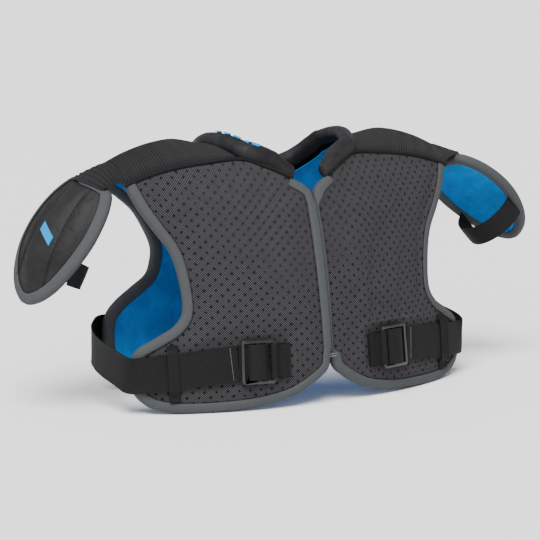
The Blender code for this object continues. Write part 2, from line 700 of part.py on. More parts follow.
def slider(name, side, chest_parent):
    """Three-bar slider hinged in its sewn tab, with the strap folded round its middle bar."""
    place, _, out, upright = slider_plane(side)
    half_span = 0.5 * (SLIDER_OUTER_X - SLIDER_INNER_X)
    hinge = place(-half_span, SLIDER_LIFT)
    turning = pivot(f"{name}_slider_pivot", hinge)
    half_bar = 0.5 * SLIDER_BAR
    inner_height = 0.5 * STRAP_WIDTH + 0.0012
    outer_height = inner_height + SLIDER_BAR
    ends, cut = half_span + half_bar, 0.0025
    corners = ((1, 1), (-1, 1), (-1, -1), (1, -1))
    outline = []
    for sx, sy in corners:
        pair = [
            Vector((sx * ends, sy * (outer_height - cut))),
            Vector((sx * (ends - cut), sy * outer_height)),
        ]
        outline += pair if sx * sy > 0 else pair[::-1]
    holes = []
    for low, high in ((-half_span + half_bar, -half_bar), (half_bar, half_span - half_bar)):
        corner_places = ((low, -1), (high, -1), (high, 1), (low, 1))
        holes.append([Vector((u, way * inner_height)) for u, way in corner_places])
    flat, triangles = fill(outline, holes=holes, pitch=0.1)
    mesh = sheet(flat, triangles, lambda u, v: place(u, SLIDER_LIFT, v), half_bar, -half_bar, out)
    finish_node(f"{name}_slider", mesh, BLACK, 0.35, turning)

    strap = 0.5 * STRAP_THICKNESS
    high = SLIDER_LIFT + half_bar + GAP + strap
    middle_line = [Vector(p) for p in (
        (half_span + 0.0033, 0.0029), (half_span - 0.0045, 0.0029), (0.0088, 0.0050), (0.0050, high - 0.0008),
        (0.0, high), (-0.0050, high - 0.0008), (-0.0085, 0.0048), (-0.0050, 0.0016), (0.0020, 0.0011),
        (half_span + 0.0033, 0.0011),
    )]
    outer_side = inset_run(middle_line, strap, sense=-1.0)
    inner_side = inset_run(middle_line, strap)
    flat, triangles = fill(outer_side + inner_side[::-1], pitch=0.1)
    half = 0.5 * STRAP_WIDTH
    mesh = sheet(flat, triangles, lambda u, n: place(u, n), half, -half, upright)
    finish_node(f"{name}_strap_fold", mesh, BLACK, 0.8, turning)

    sleeve, hole_radius = 0.0042, 0.0028
    centre = Vector((-half_span, SLIDER_LIFT))
    outline = [Vector((-half_span - TAB_LENGTH, 0.0004)), Vector((-half_span - 0.003, 0.0004))]
    for k in range(9):
        turn = math.radians(-80 + 270 * k / 8)
        outline.append(centre + Vector((math.cos(turn), math.sin(turn))) * sleeve)
    outline += [Vector((-half_span - 0.0062, 0.0032)), Vector((-half_span - TAB_LENGTH, 0.0032))]
    hole = [centre + Vector((math.cos(2 * math.pi * k / 12), math.sin(2 * math.pi * k / 12))) * hole_radius
            for k in range(12)]
    flat, triangles = fill(outline, holes=[hole], pitch=0.1)
    half = 0.5 * STRAP_WIDTH - 0.0004
    mesh = sheet(flat, triangles, lambda u, n: place(u, n), half, -half, upright)
    finish_node(f"{name}_slider_tab", mesh, BLACK, 0.8, chest_parent)


# ---------------------------------------------------------------- arm caps
CAP_LAYERS = {
    "cover": (0.0, -COVER),
    "foam": (-COVER - GAP, -COVER - GAP - CAP_FOAM),
    "lining": (-COVER - CAP_FOAM - 2 * GAP, -COVER - CAP_FOAM - 2 * GAP - LINING),
}
CAP_THICKNESS = COVER + CAP_FOAM + LINING + 2 * GAP
CAP_OUTLINE = (     # shares of the length and of half the width, from the neck to the tip
    (0.0, 0.30), (0.020, 0.58), (0.095, 0.76), (0.23, 0.92), (0.42, 1.0), (0.62, 0.93), (0.80, 0.74),
    (0.92, 0.48), (0.985, 0.20),
)
MARK_PLACE = 0.066      # from the cap's neck to its mark
MARK_OUTLINE = ((0.0, -0.011), (0.016, -0.011), (0.026, 0.011), (0.010, 0.011))
CAP_NECK = Vector((0.2245, -0.004, 0.2440))     # top of a cap's neck, on the wearer's left


def cap_frame(side, droop):
    """Cap's neck, its lengthways way, its forward way and its outward way."""
    length = Vector((side * math.cos(droop), 0, -math.sin(droop)))
    out = Vector((side * math.sin(droop), 0, math.cos(droop)))
    front = Vector((0, -1, 0))
    turn = RIGHT_TURN if side < 0 else LEFT_TURN
    turned_front = front * math.cos(turn) - out * math.sin(turn)
    turned_out = out * math.cos(turn) + front * math.sin(turn)
    neck = Vector((side * CAP_NECK.x, CAP_NECK.y, CAP_NECK.z))
    return neck, length, turned_front, turned_out


def cap_surface(side, droop):
    """Outside of a cap: a shell curved both ways, over the length and the forward way."""
    neck, length, front, out = cap_frame(side, droop)
    rise = (0.45 * CAP_LENGTH) ** 2 / (2 * CAP_LONG_RADIUS)

    def place(s, t):
        bend = (s - 0.45 * CAP_LENGTH) ** 2 / (2 * CAP_LONG_RADIUS) + t ** 2 / (2 * CAP_CROSS_RADIUS)
        return neck + length * s + front * t + out * (rise - bend)
    return place


def cap_run():
    """Closed outline of a cap."""
    half = [Vector((s * CAP_LENGTH, 0.5 * t * CAP_WIDTH)) for s, t in CAP_OUTLINE]
    lower = [Vector((p.x, -p.y)) for p in half]
    return smooth_run(lower + [Vector((CAP_LENGTH, 0.0))] + half[::-1], EDGE_PITCH, closed=True)


def cap(name, side, droop, parent):
    """Cover, foam, lining and binding of an arm cap, and the plain mark on its cover."""
    place = cap_surface(side, droop)
    _, _, _, out = cap_frame(side, droop)
    run = cap_run()
    outline = inset_run(run, EDGE_ROOM, True)
    ring = inset_run(run, BINDING_WIDTH, True)
    flat, triangles = fill(outline, [ring + [ring[0]]], pitch=0.022)
    looks = {"cover": (BLACK, 0.7), "foam": (FOAM_WHITE, 0.9), "lining": (BLUE, 0.85)}
    for layer, (outer, inner) in CAP_LAYERS.items():
        mesh = sheet(flat, triangles, place, outer, inner, out)
        finish_node(f"{name}_cap_{layer}", mesh, *looks[layer], parent)
    mesh = binding_solid(run, place, out, CAP_THICKNESS, True)
    finish_node(f"{name}_cap_binding", mesh, BINDING_GREY, 0.7, parent)
    mark = [Vector((MARK_PLACE + x, y)) for x, y in MARK_OUTLINE]
    flat, triangles = fill(mark, pitch=0.1)
    mesh = sheet(flat, triangles, place, 0.0014, 0.0008, out)
    finish_node(f"{name}_cap_mark", mesh, CYAN, 0.5, parent)


def link_surface(side, droop):
    """Outside of the ribbed link from a yoke's tip to its cap's neck."""
    over, shell = yoke_surface(side), cap_surface(side, droop)
    _, _, _, out = cap_frame(side, droop)
    lift = GAP + BINDING_WALL + LINK_LIFT + YOKE_BAND

    def place(a, b):
        start = over(1.0, b)
        t = 0.5 * CAP_NECK_WIDTH * (1 - 2 * b)
        end = raised(shell, 0.009, t, lift, out)
        return start.lerp(end, a) + Vector((0, 0, 0.0035 * 4 * a * (1 - a)))
    return place


def link_axis(side, droop):
    """Point that a cap turns about: the top of the link, halfway along it."""
    place = link_surface(side, droop)
    crest = max((place(0.45, b) for b in spread(0.1, 0.9, 33)), key=lambda p: p.z)
    return Vector((crest.x, CAP_NECK.y, crest.z + 0.0010))


def shoulder_link(name, side, droop, back_parent, cap_parent):
    """Ribbed elastic link in two halves, parted by a wedge under the axis that the cap turns about."""
    place, axis = link_surface(side, droop), link_axis(side, droop)
    columns = spread(0.045, 0.955, 9)

    def cut(b, way):
        low, high = 0.0, 1.0
        for _ in range(30):
            share = 0.5 * (low + high)
            point = place(share, b)
            edge = axis.x * side + way * (max(0.0, axis.z - point.z) * math.tan(LINK_WEDGE) + 0.0004)
            if point.x * side < edge:
                low = share
            else:
                high = share
        return share

    up = Vector((side, 0, 1))
    for half, parent, way in (("inner", back_parent, -1), ("outer", cap_parent, 1)):
        cuts = [cut(b, way) for b in columns]
        grids = []
        for lift in (0.0, -YOKE_BAND):
            grid = []
            for k in range(4):
                row = []
                for b, share in zip(columns, cuts):
                    a = 0.012 + (share - 0.012) * k / 3 if way < 0 else share + (1 - share) * k / 3
                    along = place(a + 0.02, b) - place(a - 0.02, b)
                    across = place(a, b + 0.02) - place(a, b - 0.02)
                    normal = along.cross(across).normalized()
                    row.append(place(a, b) + (normal if normal.dot(up) > 0 else -normal) * lift)
                grid.append(row)
            grids.append(grid)
        finish_node(f"{name}_link_{half}", grid_solid(*grids), RIB_GREY, 0.75, parent)


def loop_frame(side, droop):
    """Middle of the line between an arm loop's ends, and the loop's lengthways and inward ways."""
    place = cap_surface(side, droop)
    _, _, front, _ = cap_frame(side, droop)
    s = LOOP_PLACE * CAP_LENGTH
    length = (place(s + 0.01, 0) - place(s - 0.01, 0)).normalized()
    inward = length.cross(front)
    inward = inward if inward.x * side < 0 else -inward
    t = 0.5 * CAP_WIDTH - 0.013
    ends = 0.5 * (place(s, t) + place(s, -t)) + inward * (CAP_THICKNESS + 0.0045)
    return ends, length, front, inward, t


def arm_loop(name, side, droop, parent):
    """Elastic band that passes under the arm, from the cap's front edge to its rear edge."""
    ends, length, front, inward, t = loop_frame(side, droop)
    rings = []
    for k in range(13):
        turn = math.pi * k / 12
        middle = ends + front * t * math.cos(turn) + inward * LOOP_DROP * math.sin(turn)
        way = (front * math.cos(turn) / t + inward * math.sin(turn) / LOOP_DROP).normalized()
        thick, wide = way * 0.5 * LOOP_THICKNESS, length * 0.5 * LOOP_WIDTH
        rings.append([middle + thick + wide, middle + thick - wide, middle - thick - wide,
                      middle - thick + wide])
    finish_node(f"{name}_arm_loop", sweep_solid(rings), BLACK, 0.8, parent)


def seam_tack(parent):
    """Bar of stitches that ties the two chest halves at the foot of their seam."""
    centre = chest_surface(1)(0.0, NOTCH_HEIGHT + 0.012)
    near = GAP + BINDING_WALL + GAP
    far = near + 0.0009
    half_width, half_height = 0.0045, 0.0012
    corners = ((far, half_height), (far, -half_height), (near, -half_height), (near, half_height))
    rings = []
    for x in (-half_width, half_width):
        rings.append([Vector((x, centre.y - out, centre.z + rise)) for out, rise in corners])
    finish_node("seam_tack", sweep_solid(rings), BLACK, 0.8, parent)


# ---------------------------------------------------------------- assembly
chest_pivot = pivot("chest_pivot", (0, chest_surface(1)(NECK_REACH, SHOULDER_HEIGHT).y, SHOULDER_HEIGHT))
back_panel(frame_origin)
collar(chest_pivot, frame_origin)
seam_tack(chest_pivot)
for side_name, side_sign, side_droop in (("right", -1, RIGHT_DROOP), ("left", 1, LEFT_DROOP)):
    chest_half(side_name, side_sign, chest_pivot)
    yoke(side_name, side_sign, frame_origin)
    side_strap(side_name, side_sign, chest_pivot, frame_origin)
    keeper(side_name, side_sign, chest_pivot)
    slider(side_name, side_sign, chest_pivot)
    cap_pivot = pivot(f"{side_name}_cap_pivot", link_axis(side_sign, side_droop))
    cap(side_name, side_sign, side_droop, cap_pivot)
    shoulder_link(side_name, side_sign, side_droop, frame_origin, cap_pivot)
    loop_pivot = pivot(f"{side_name}_loop_pivot", loop_frame(side_sign, side_droop)[0])
    arm_loop(side_name, side_sign, side_droop, loop_pivot)
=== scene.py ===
"""Soft hockey shoulder pads, dressed for a studio picture.

Lengths are metres, +Z is up and -Y is the wearer's front. Panels are sheets over curved
surfaces; a panel's flat coordinates are the distance from the vest's middle and the height.
"""

import math

import bmesh
import bpy
import numpy as np
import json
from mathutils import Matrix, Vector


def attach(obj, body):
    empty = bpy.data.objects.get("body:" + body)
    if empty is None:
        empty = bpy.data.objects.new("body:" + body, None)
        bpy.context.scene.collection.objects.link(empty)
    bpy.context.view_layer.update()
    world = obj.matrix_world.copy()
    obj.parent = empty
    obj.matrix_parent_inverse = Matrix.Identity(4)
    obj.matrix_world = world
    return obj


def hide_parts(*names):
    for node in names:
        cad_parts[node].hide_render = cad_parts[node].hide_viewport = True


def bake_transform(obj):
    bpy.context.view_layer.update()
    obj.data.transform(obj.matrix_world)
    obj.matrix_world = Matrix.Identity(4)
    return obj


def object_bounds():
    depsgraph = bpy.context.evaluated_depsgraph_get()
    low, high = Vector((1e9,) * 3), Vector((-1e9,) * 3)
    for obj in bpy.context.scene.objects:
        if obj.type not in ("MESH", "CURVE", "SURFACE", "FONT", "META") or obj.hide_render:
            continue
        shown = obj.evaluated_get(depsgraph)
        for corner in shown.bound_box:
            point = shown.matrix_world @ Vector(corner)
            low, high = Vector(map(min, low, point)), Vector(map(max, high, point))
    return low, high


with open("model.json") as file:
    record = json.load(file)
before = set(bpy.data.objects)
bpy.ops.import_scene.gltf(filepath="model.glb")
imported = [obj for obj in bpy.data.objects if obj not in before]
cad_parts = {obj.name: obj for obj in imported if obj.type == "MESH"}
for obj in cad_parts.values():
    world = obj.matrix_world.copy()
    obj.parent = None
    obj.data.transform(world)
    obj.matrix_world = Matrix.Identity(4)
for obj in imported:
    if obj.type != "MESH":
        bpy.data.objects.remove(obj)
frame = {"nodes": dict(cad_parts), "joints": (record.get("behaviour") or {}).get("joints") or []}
CAD_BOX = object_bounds()

CHEST_DEPTH, BACK_DEPTH = 0.128, 0.072
NECK_REACH, SHOULDER_REACH, SHOULDER_HEIGHT = 0.072, 0.205, 0.262
WING_REACH, BACK_WING_REACH = 0.212, 0.190
YOKE_CROWN, NECK_BULGE = 0.020, 0.012
PANEL = 0.0098          # thickness of a padded panel
TAPE = 0.011            # width of the tape on a panel's face
STRAP_WIDTH, STRAP_THICKNESS, STRAP_LIFT = 0.038, 0.0014, 0.0020
SLIDER_INNER_X, SLIDER_OUTER_X, SLIDER_HEIGHT, SLIDER_LIFT = 0.068, 0.1025, 0.052, 0.0053
KEEPER_X, KEEPER_WIDTH = 0.171, 0.012
WING_STRAP_HEIGHT, BACK_STRAP_HEIGHT = 0.042, 0.066
CAP_LENGTH, CAP_WIDTH, CAP_CROSS_RADIUS, CAP_LONG_RADIUS = 0.150, 0.098, 0.085, 0.170
CAP_PANEL = 0.0088
DROOP = {-1: math.radians(55), 1: math.radians(40)}
CAP_TURN = {-1: math.radians(20), 1: math.radians(-27)}
LOOP_WIDTH, LOOP_THICKNESS, LOOP_DROP, LOOP_PLACE = 0.025, 0.0018, 0.040, 0.68
COLLAR_THICKNESS, COLLAR_HEIGHT = 0.015, 0.020
SIDES = (("right", -1), ("left", 1))
FRONT, UP = np.array((0.0, -1.0, 0.5)), np.array((0.0, 0.0, 1.0))
REAR = np.array((0.0, 1.0, 0.5))


# ---------------------------------------------------------------- numbers along curves
def smooth(value):
    """Smooth step: 3v^2 - 2v^3 of the value held between 0 and 1."""
    value = np.clip(value, 0.0, 1.0)
    return value * value * (3.0 - 2.0 * value)


def eased(value, radius):
    """Straight rise that starts level round a radius: root of v^2 + r^2, less r."""
    return np.sqrt(value * value + radius * radius) - radius


def unit(vectors):
    return vectors / np.maximum(np.linalg.norm(vectors, axis=-1, keepdims=True), 1e-12)


def curve(points, count, closed=False):
    """Catmull-Rom curve through points, as a number of places evenly spaced along its length."""
    p = np.asarray(points, float)
    if closed:
        p = np.vstack([p[-1:], p, p[:2]])
    else:
        p = np.vstack([2 * p[0] - p[1], p, 2 * p[-1] - p[-2]])
    t = np.linspace(0, 1, 24, endpoint=False)[:, None]
    spans = []
    for a, b, c, d in zip(p, p[1:], p[2:], p[3:]):
        bend = (2 * a - 5 * b + 4 * c - d) * t ** 2 + (3 * b - a - 3 * c + d) * t ** 3
        spans.append(0.5 * (2 * b + (c - a) * t + bend))
    dense = np.vstack(spans + [p[-2][None]])
    return respaced(dense, count, not closed)


def respaced(dense, count, with_end=True):
    """Places evenly spaced along a polyline's length."""
    length = lengths(dense)
    at = np.linspace(0, length[-1], count, endpoint=with_end)
    return np.stack([np.interp(at, length, dense[:, k]) for k in range(dense.shape[1])], axis=1)


def lengths(line):
    """Distance along a polyline at each of its points."""
    return np.r_[0, np.cumsum(np.linalg.norm(np.diff(line, axis=0), axis=1))]


def leftwards(run, closed=False):
    """Unit vectors to the left of a flat run: its direction turned by a right angle."""
    if closed:
        way = np.roll(run, -1, axis=0) - np.roll(run, 1, axis=0)
    else:
        way = np.gradient(run, axis=0)
    way = unit(way)
    return np.stack([-way[:, 1], way[:, 0]], axis=1)


def patch(bottom, right, top, left, columns, rows, margin=0.008):
    """Coons patch: opposite edges blended both ways, less the blend of the four corners."""
    u = np.linspace(margin, 1 - margin, columns)
    v = np.linspace(margin, 1 - margin, rows)
    edges = {}
    for key, line, share in (("b", bottom, u), ("t", top, u), ("l", left, v), ("r", right, v)):
        dense = curve(line, 400)
        at = np.linspace(0, 1, 400)
        edges[key] = np.stack([np.interp(share, at, dense[:, k]) for k in (0, 1)], axis=1)
    u, v = u[:, None, None], v[None, :, None]
    corner = [np.asarray(c, float) for c in (bottom[0], bottom[-1], top[0], top[-1])]
    between = (1 - v) * edges["b"][:, None] + v * edges["t"][:, None]
    between = between + (1 - u) * edges["l"][None] + u * edges["r"][None]
    corners = (1 - u) * (1 - v) * corner[0] + u * (1 - v) * corner[1]
    return between - corners - (1 - u) * v * corner[2] - u * v * corner[3]


def edge_distance(flat, line):
    """Distance from each flat point to the nearest point of a finely spaced line."""
    points = flat.reshape(-1, 2)
    nearest = np.full(len(points), 1.0)
    for part in np.array_split(line, max(1, len(line) // 40)):
        gap = np.linalg.norm(points[:, None] - part[None], axis=2).min(axis=1)
        nearest = np.minimum(nearest, gap)
    return nearest.reshape(flat.shape[:-1])


def ripples(flat, seed, size, count=14):
    """Uneven folds between -1 and 1: a mean of sine waves with seeded ways and lengths."""
    chance = np.random.default_rng(seed)
    total = np.zeros(flat.shape[:-1])
    for _ in range(count):
        turn, phase = chance.uniform(0, math.tau, 2)
        wave = size * chance.uniform(0.6, 1.7)
        along = flat[..., 0] * math.cos(turn) + flat[..., 1] * math.sin(turn)
        total += np.sin(math.tau * along / wave + phase)
    return total / math.sqrt(count)


# ---------------------------------------------------------------- surfaces of the vest
def chest_surface(side):
    """Chest: depth rises with height and its cube, and with reach and its cube, as it wraps."""
    def place(across, height):
        reach = np.maximum(0.0, across)
        leaning = 0.098 * eased(height, 0.015) + 1.955 * height ** 3
        leaning = leaning + 8.0 * np.maximum(0.0, height - 0.235) ** 2
        wrap = 0.16 * eased(reach, 0.012)
        wrap = wrap + 3.3 * reach ** 3 * (1.0 - 0.75 * smooth((height - 0.110) / 0.130))
        return np.stack([side * across, -CHEST_DEPTH + leaning + wrap, height], axis=-1)
    return place


def back_surface(across, height):
    """Back: falls with reach and its cube, and rounds forwards near the shoulders."""
    reach = np.abs(across)
    rounding = 0.033 * (np.maximum(0.0, height - 0.160) / 0.102) ** 2.5
    depth = BACK_DEPTH - 0.06 * reach - 1.2 * reach ** 3 - rounding
    return np.stack([across, depth, height], axis=-1)


def normals_of(place, a, b, outward, step=0.0005):
    """Cross product of a surface's two slopes, turned to the outward side."""
    along = place(a + step, b) - place(a - step, b)
    up = place(a, b + step) - place(a, b - step)
    normal = unit(np.cross(along, up))
    way = np.where((normal * outward).sum(axis=-1, keepdims=True) < 0, -1.0, 1.0)
    return normal * way


def raised(place, flat, lift, outward, step=0.0005):
    """Surface points moved along their normals by a lift, which may vary over the points."""
    a, b = flat[..., 0], flat[..., 1]
    lift = np.broadcast_to(np.asarray(lift, float), a.shape)[..., None]
    return place(a, b) + normals_of(place, a, b, outward, step) * lift


HINGE = next(j for j in frame["joints"] if j["name"] == "chest_lift")["pos_m"]
SHIFT = np.asarray(HINGE) - chest_surface(1)(np.array(NECK_REACH), np.array(SHOULDER_HEIGHT)) * (0, 1, 1)

SEAM = [(0.005, 0.038), (0.0012, 0.052), (0.0006, 0.095), (0.0006, 0.150), (0.0006, 0.208), (0.0012, 0.224)]
HEM = [
    (0.005, 0.038), (0.016, 0.0285), (0.034, 0.0175), (0.056, 0.0090), (0.098, 0.0020), (0.156, 0.0),
    (0.186, 0.0035), (0.201, 0.0110), (0.210, 0.0230),
]
ARMHOLE = [
    (0.210, 0.0230), (0.212, 0.042), (0.211, 0.058), (0.203, 0.0700), (0.184, 0.0820), (0.167, 0.0935),
    (0.158, 0.1100), (0.160, 0.143), (0.167, 0.170), (0.182, 0.194), (0.195, 0.216), (0.205, 0.240),
]
NECK = [(0.0012, 0.224), (0.0075, 0.2330), (0.023, 0.2425), (0.047, 0.2535), (0.072, 0.262)]
YOKE_LINE = [(0.072, 0.262), (0.110, 0.2600), (0.148, 0.2555), (0.180, 0.2485), (0.205, 0.240)]
BACK_SIDE = [
    (0.166, 0.0050), (0.172, 0.0080), (0.184, 0.0260), (0.190, 0.0500), (0.190, 0.0750), (0.184, 0.0900),
    (0.171, 0.1020), (0.150, 0.1150), (0.133, 0.1260), (0.127, 0.1400), (0.126, 0.1560), (0.135, 0.1760),
    (0.152, 0.2000), (0.176, 0.2190), (0.194, 0.2310), (0.202, 0.2420),
]
BACK_HEM = [(0.0, 0.0), (0.065, 0.0), (0.130, 0.0), (0.150, 0.0006), (0.166, 0.0050)]
BACK_YOKE_LINE = [(0.088, 0.2660), (0.115, 0.2655), (0.150, 0.2610), (0.180, 0.2520), (0.202, 0.2420)]
BACK_NECK = [(0.0, 0.226), (0.030, 0.2285), (0.056, 0.2380), (0.076, 0.2530), (0.088, 0.2660)]


def mirrored(points):
    """The same flat points across the middle, in the opposite order."""
    return [(-x, z) for x, z in reversed(points)]


def yoke_surface(side):
    """Yoke: straight from the chest's line to the back's, with a parabola of crown between."""
    front_line, rear_line = curve(YOKE_LINE, 200), curve(BACK_YOKE_LINE, 200)
    shares = np.linspace(0, 1, 200)
    chest = chest_surface(side)

    def place(a, b):
        held = np.clip(a, 0.0, 1.0)
        front = [np.interp(held, shares, front_line[:, k]) for k in (0, 1)]
        rear = [np.interp(held, shares, rear_line[:, k]) for k in (0, 1)]
        start, end = chest(front[0], front[1]), back_surface(side * rear[0], rear[1])
        b = np.asarray(b)[..., None]
        a = np.asarray(a)[..., None]
        arch = 4.0 * b * (1.0 - b)
        crown = YOKE_CROWN * (0.55 + 0.45 * smooth(a / 0.4))
        beyond = (a - held[..., None]) * np.array((side * 0.133, 0.008, -0.020))
        lean = np.concatenate([side * NECK_BULGE * arch * (1 - a), 0 * arch, crown * arch], axis=-1)
        return start * (1 - b) + end * b + lean + beyond
    return place


def cap_frame(side):
    """Cap's neck, its lengthways way, its forward way and its outward way."""
    droop = DROOP[side]
    length = np.array((side * math.cos(droop), 0.0, -math.sin(droop)))
    out = np.array((side * math.sin(droop), 0.0, math.cos(droop)))
    front = np.array((0.0, -1.0, 0.0))
    turn = CAP_TURN[side]
    turned_front = front * math.cos(turn) - out * math.sin(turn)
    turned_out = out * math.cos(turn) + front * math.sin(turn)
    return np.array((side * 0.2245, -0.004, 0.2440)), length, turned_front, turned_out


def cap_surface(side):
    """Cap: a shell that falls with the square of the distance along it and across it."""
    neck, length, front, out = cap_frame(side)
    middle = 0.45 * CAP_LENGTH
    rise = middle ** 2 / (2 * CAP_LONG_RADIUS)

    def place(s, t):
        bend = (s - middle) ** 2 / (2 * CAP_LONG_RADIUS) + t ** 2 / (2 * CAP_CROSS_RADIUS)
        s, t, fall = s[..., None], t[..., None], (rise - bend)[..., None]
        return neck + length * s + front * t + out * fall
    return place


# ---------------------------------------------------------------- meshes
def build(name, points, faces, uv, finish, sharp=50):
    """Mesh object from points in the vest's frame, with its faces turned out and a cloth UV map."""
    corners = [np.array([face[0], face[i], face[i + 1]]) for face in faces[:0] for i in (1, 2)]
    first = np.array([f[:3] for f in faces])
    second = np.array([(f[0], f[2], f[-1]) for f in faces])
    tri = np.vstack([first, second] + corners)
    middle = points.mean(axis=0)
    p, q, r = (points[tri[:, k]] - middle for k in range(3))
    if (np.cross(p, q) * r).sum() < 0:
        faces = [tuple(reversed(f)) for f in faces]
    mesh = bpy.data.meshes.new(name)
    mesh.from_pydata((points + SHIFT).tolist(), [], faces)
    layer = mesh.uv_layers.new(name="cloth")
    loop_points = np.empty(len(mesh.loops), dtype=np.int32)
    mesh.loops.foreach_get("vertex_index", loop_points)
    layer.data.foreach_set("uv", uv[loop_points].astype(np.float32).ravel())
    mesh.polygons.foreach_set("use_smooth", np.ones(len(mesh.polygons), dtype=bool))
    mesh.materials.append(finish.material)
    mesh.update()
    mesh.set_sharp_from_angle(angle=math.radians(sharp))
    piece = bpy.data.objects.new(name, mesh)
    bpy.context.collection.objects.link(piece)
    return piece


def grid_faces(rows, columns, start=0, wrap=False):
    """Quads over a grid of numbered points; a wrapped grid's last column joins its first."""
    number = np.arange(rows * columns).reshape(rows, columns) + start
    if wrap:
        number = np.hstack([number, number[:, :1]])
    a, b, c, d = number[:-1, :-1], number[:-1, 1:], number[1:, 1:], number[1:, :-1]
    return np.stack([a, b, c, d], axis=-1).reshape(-1, 4)


def shell(name, outer, inner, uv, finish):
    """Closed thin solid between two grids of points, with a rim round their edges."""
    rows, columns = outer.shape[:2]
    size = rows * columns
    number = np.arange(size).reshape(rows, columns)
    rim = np.r_[number[0], number[1:, -1], number[-1, -2::-1], number[-2:0:-1, 0]]
    after = np.roll(rim, -1)
    sides = np.stack([after, rim, rim + size, after + size], axis=1)
    low = grid_faces(rows, columns, size)[:, ::-1]
    faces = np.vstack([grid_faces(rows, columns), low, sides])
    points = np.vstack([outer.reshape(-1, 3), inner.reshape(-1, 3)])
    both = np.vstack([uv.reshape(-1, 2)] * 2)
    return build(name, points, [tuple(f) for f in faces.tolist()], both, finish)


def swept(name, rings, finish, closed=False, sharp=50, uv=None):
    """Closed solid through matching rings of points; open sweeps end in fans round a middle."""
    rows, columns = rings.shape[:2]
    points = rings.reshape(-1, 3)
    along = lengths(rings.mean(axis=1))
    ring = rings[rows // 2]
    across = lengths(np.vstack([ring, ring[:1]]))[:-1]
    if uv is None:
        uv = np.stack(np.broadcast_arrays(along[:, None], across[None]), axis=-1)
    uv = uv.reshape(-1, 2)
    if closed:
        rings = np.concatenate([rings, rings[:1]])
        faces = grid_faces(rows + 1, columns, wrap=True) % (rows * columns)
        return build(name, points, [tuple(f) for f in faces.tolist()], uv, finish, sharp)
    faces = [tuple(f) for f in grid_faces(rows, columns, wrap=True).tolist()]
    last = (rows - 1) * columns
    points = np.vstack([points, rings[0].mean(axis=0), rings[-1].mean(axis=0)])
    uv = np.vstack([uv, uv[:1], uv[last:last + 1]])
    first_middle, last_middle = rows * columns, rows * columns + 1
    for j in range(columns):
        k = (j + 1) % columns
        faces.append((first_middle, k, j))
        faces.append((last_middle, last + j, last + k))
    return build(name, points, faces, uv, finish, sharp)


def swell(points, pinned, force, most, slack=0.0):
    """Cloth simulation of a sheet held at its pinned points and pushed along its faces; no point
    moves further than the most."""
    rows, columns = points.shape[:2]
    mesh = bpy.data.meshes.new("swelling")
    start = points.reshape(-1, 3)
    mesh.from_pydata(start.tolist(), [], [tuple(f) for f in grid_faces(rows, columns).tolist()])
    work = bpy.data.objects.new("swelling", mesh)
    bpy.context.collection.objects.link(work)
    group = work.vertex_groups.new(name="held")
    group.add(np.flatnonzero(pinned.ravel()).tolist(), 1.0, "REPLACE")
    cloth = work.modifiers.new("cloth", "CLOTH")
    cloth.settings.quality = 4
    cloth.settings.mass = 0.25
    cloth.settings.vertex_group_mass = "held"
    cloth.settings.use_pressure = True
    cloth.settings.uniform_pressure_force = force
    cloth.settings.shrink_min = -slack
    cloth.settings.bending_stiffness = 0.3
    cloth.settings.tension_stiffness = 20
    cloth.settings.compression_stiffness = 12
    cloth.settings.effector_weights.gravity = 0.0
    cloth.collision_settings.use_collision = False
    scene = bpy.context.scene
    for step in range(1, 21):
        scene.frame_set(step)
    done = work.evaluated_get(bpy.context.evaluated_depsgraph_get()).to_mesh()
    moved = np.empty(len(start) * 3)
    done.vertices.foreach_get("co", moved)
    scene.frame_set(1)
    bpy.data.objects.remove(work, do_unlink=True)
    move = moved.reshape(-1, 3) - start
    size = np.linalg.norm(move, axis=1, keepdims=True)
    move = move * np.minimum(1.0, most / np.maximum(size, 1e-9))
    return (start + move).reshape(points.shape)


def stitches(name, path, normal, finish, pitch=0.0034, length=0.0022, radius=0.00028):
    """Row of small thread capsules laid along a path, half sunk in the cloth."""
    line = lengths(path)
    count = max(2, int(line[-1] / pitch))
    at = (np.arange(count) + 0.5) * line[-1] / count
    centre = np.stack([np.interp(at, line, path[:, k]) for k in range(3)], axis=1)
    up = unit(np.stack([np.interp(at, line, normal[:, k]) for k in range(3)], axis=1))
    way = np.stack([np.interp(at + 0.0005, line, path[:, k]) for k in range(3)], axis=1)
    back = np.stack([np.interp(at - 0.0005, line, path[:, k]) for k in range(3)], axis=1)
    way = unit(way - back)
    side = unit(np.cross(way, up))
    turn = np.arange(6) * math.tau / 6
    share = np.array((-0.5, -0.36, 0.36, 0.5))
    thick = np.array((0.35, 1.0, 1.0, 0.35))
    ring = side[:, None, None] * np.cos(turn)[None, None, :, None]
    ring = ring + up[:, None, None] * np.sin(turn)[None, None, :, None]
    body = centre[:, None, None] + way[:, None, None] * (share * length)[None, :, None, None]
    body = body + ring * (thick * radius)[None, :, None, None]
    points = body.reshape(-1, 3)
    one = [tuple(f) for f in grid_faces(4, 6, wrap=True).tolist()]
    one += [tuple(range(5, -1, -1)), tuple(range(18, 24))]
    faces = [tuple(i + 24 * n for i in f) for n in range(count) for f in one]
    return build(name, points, faces, np.zeros((len(points), 2)), finish)


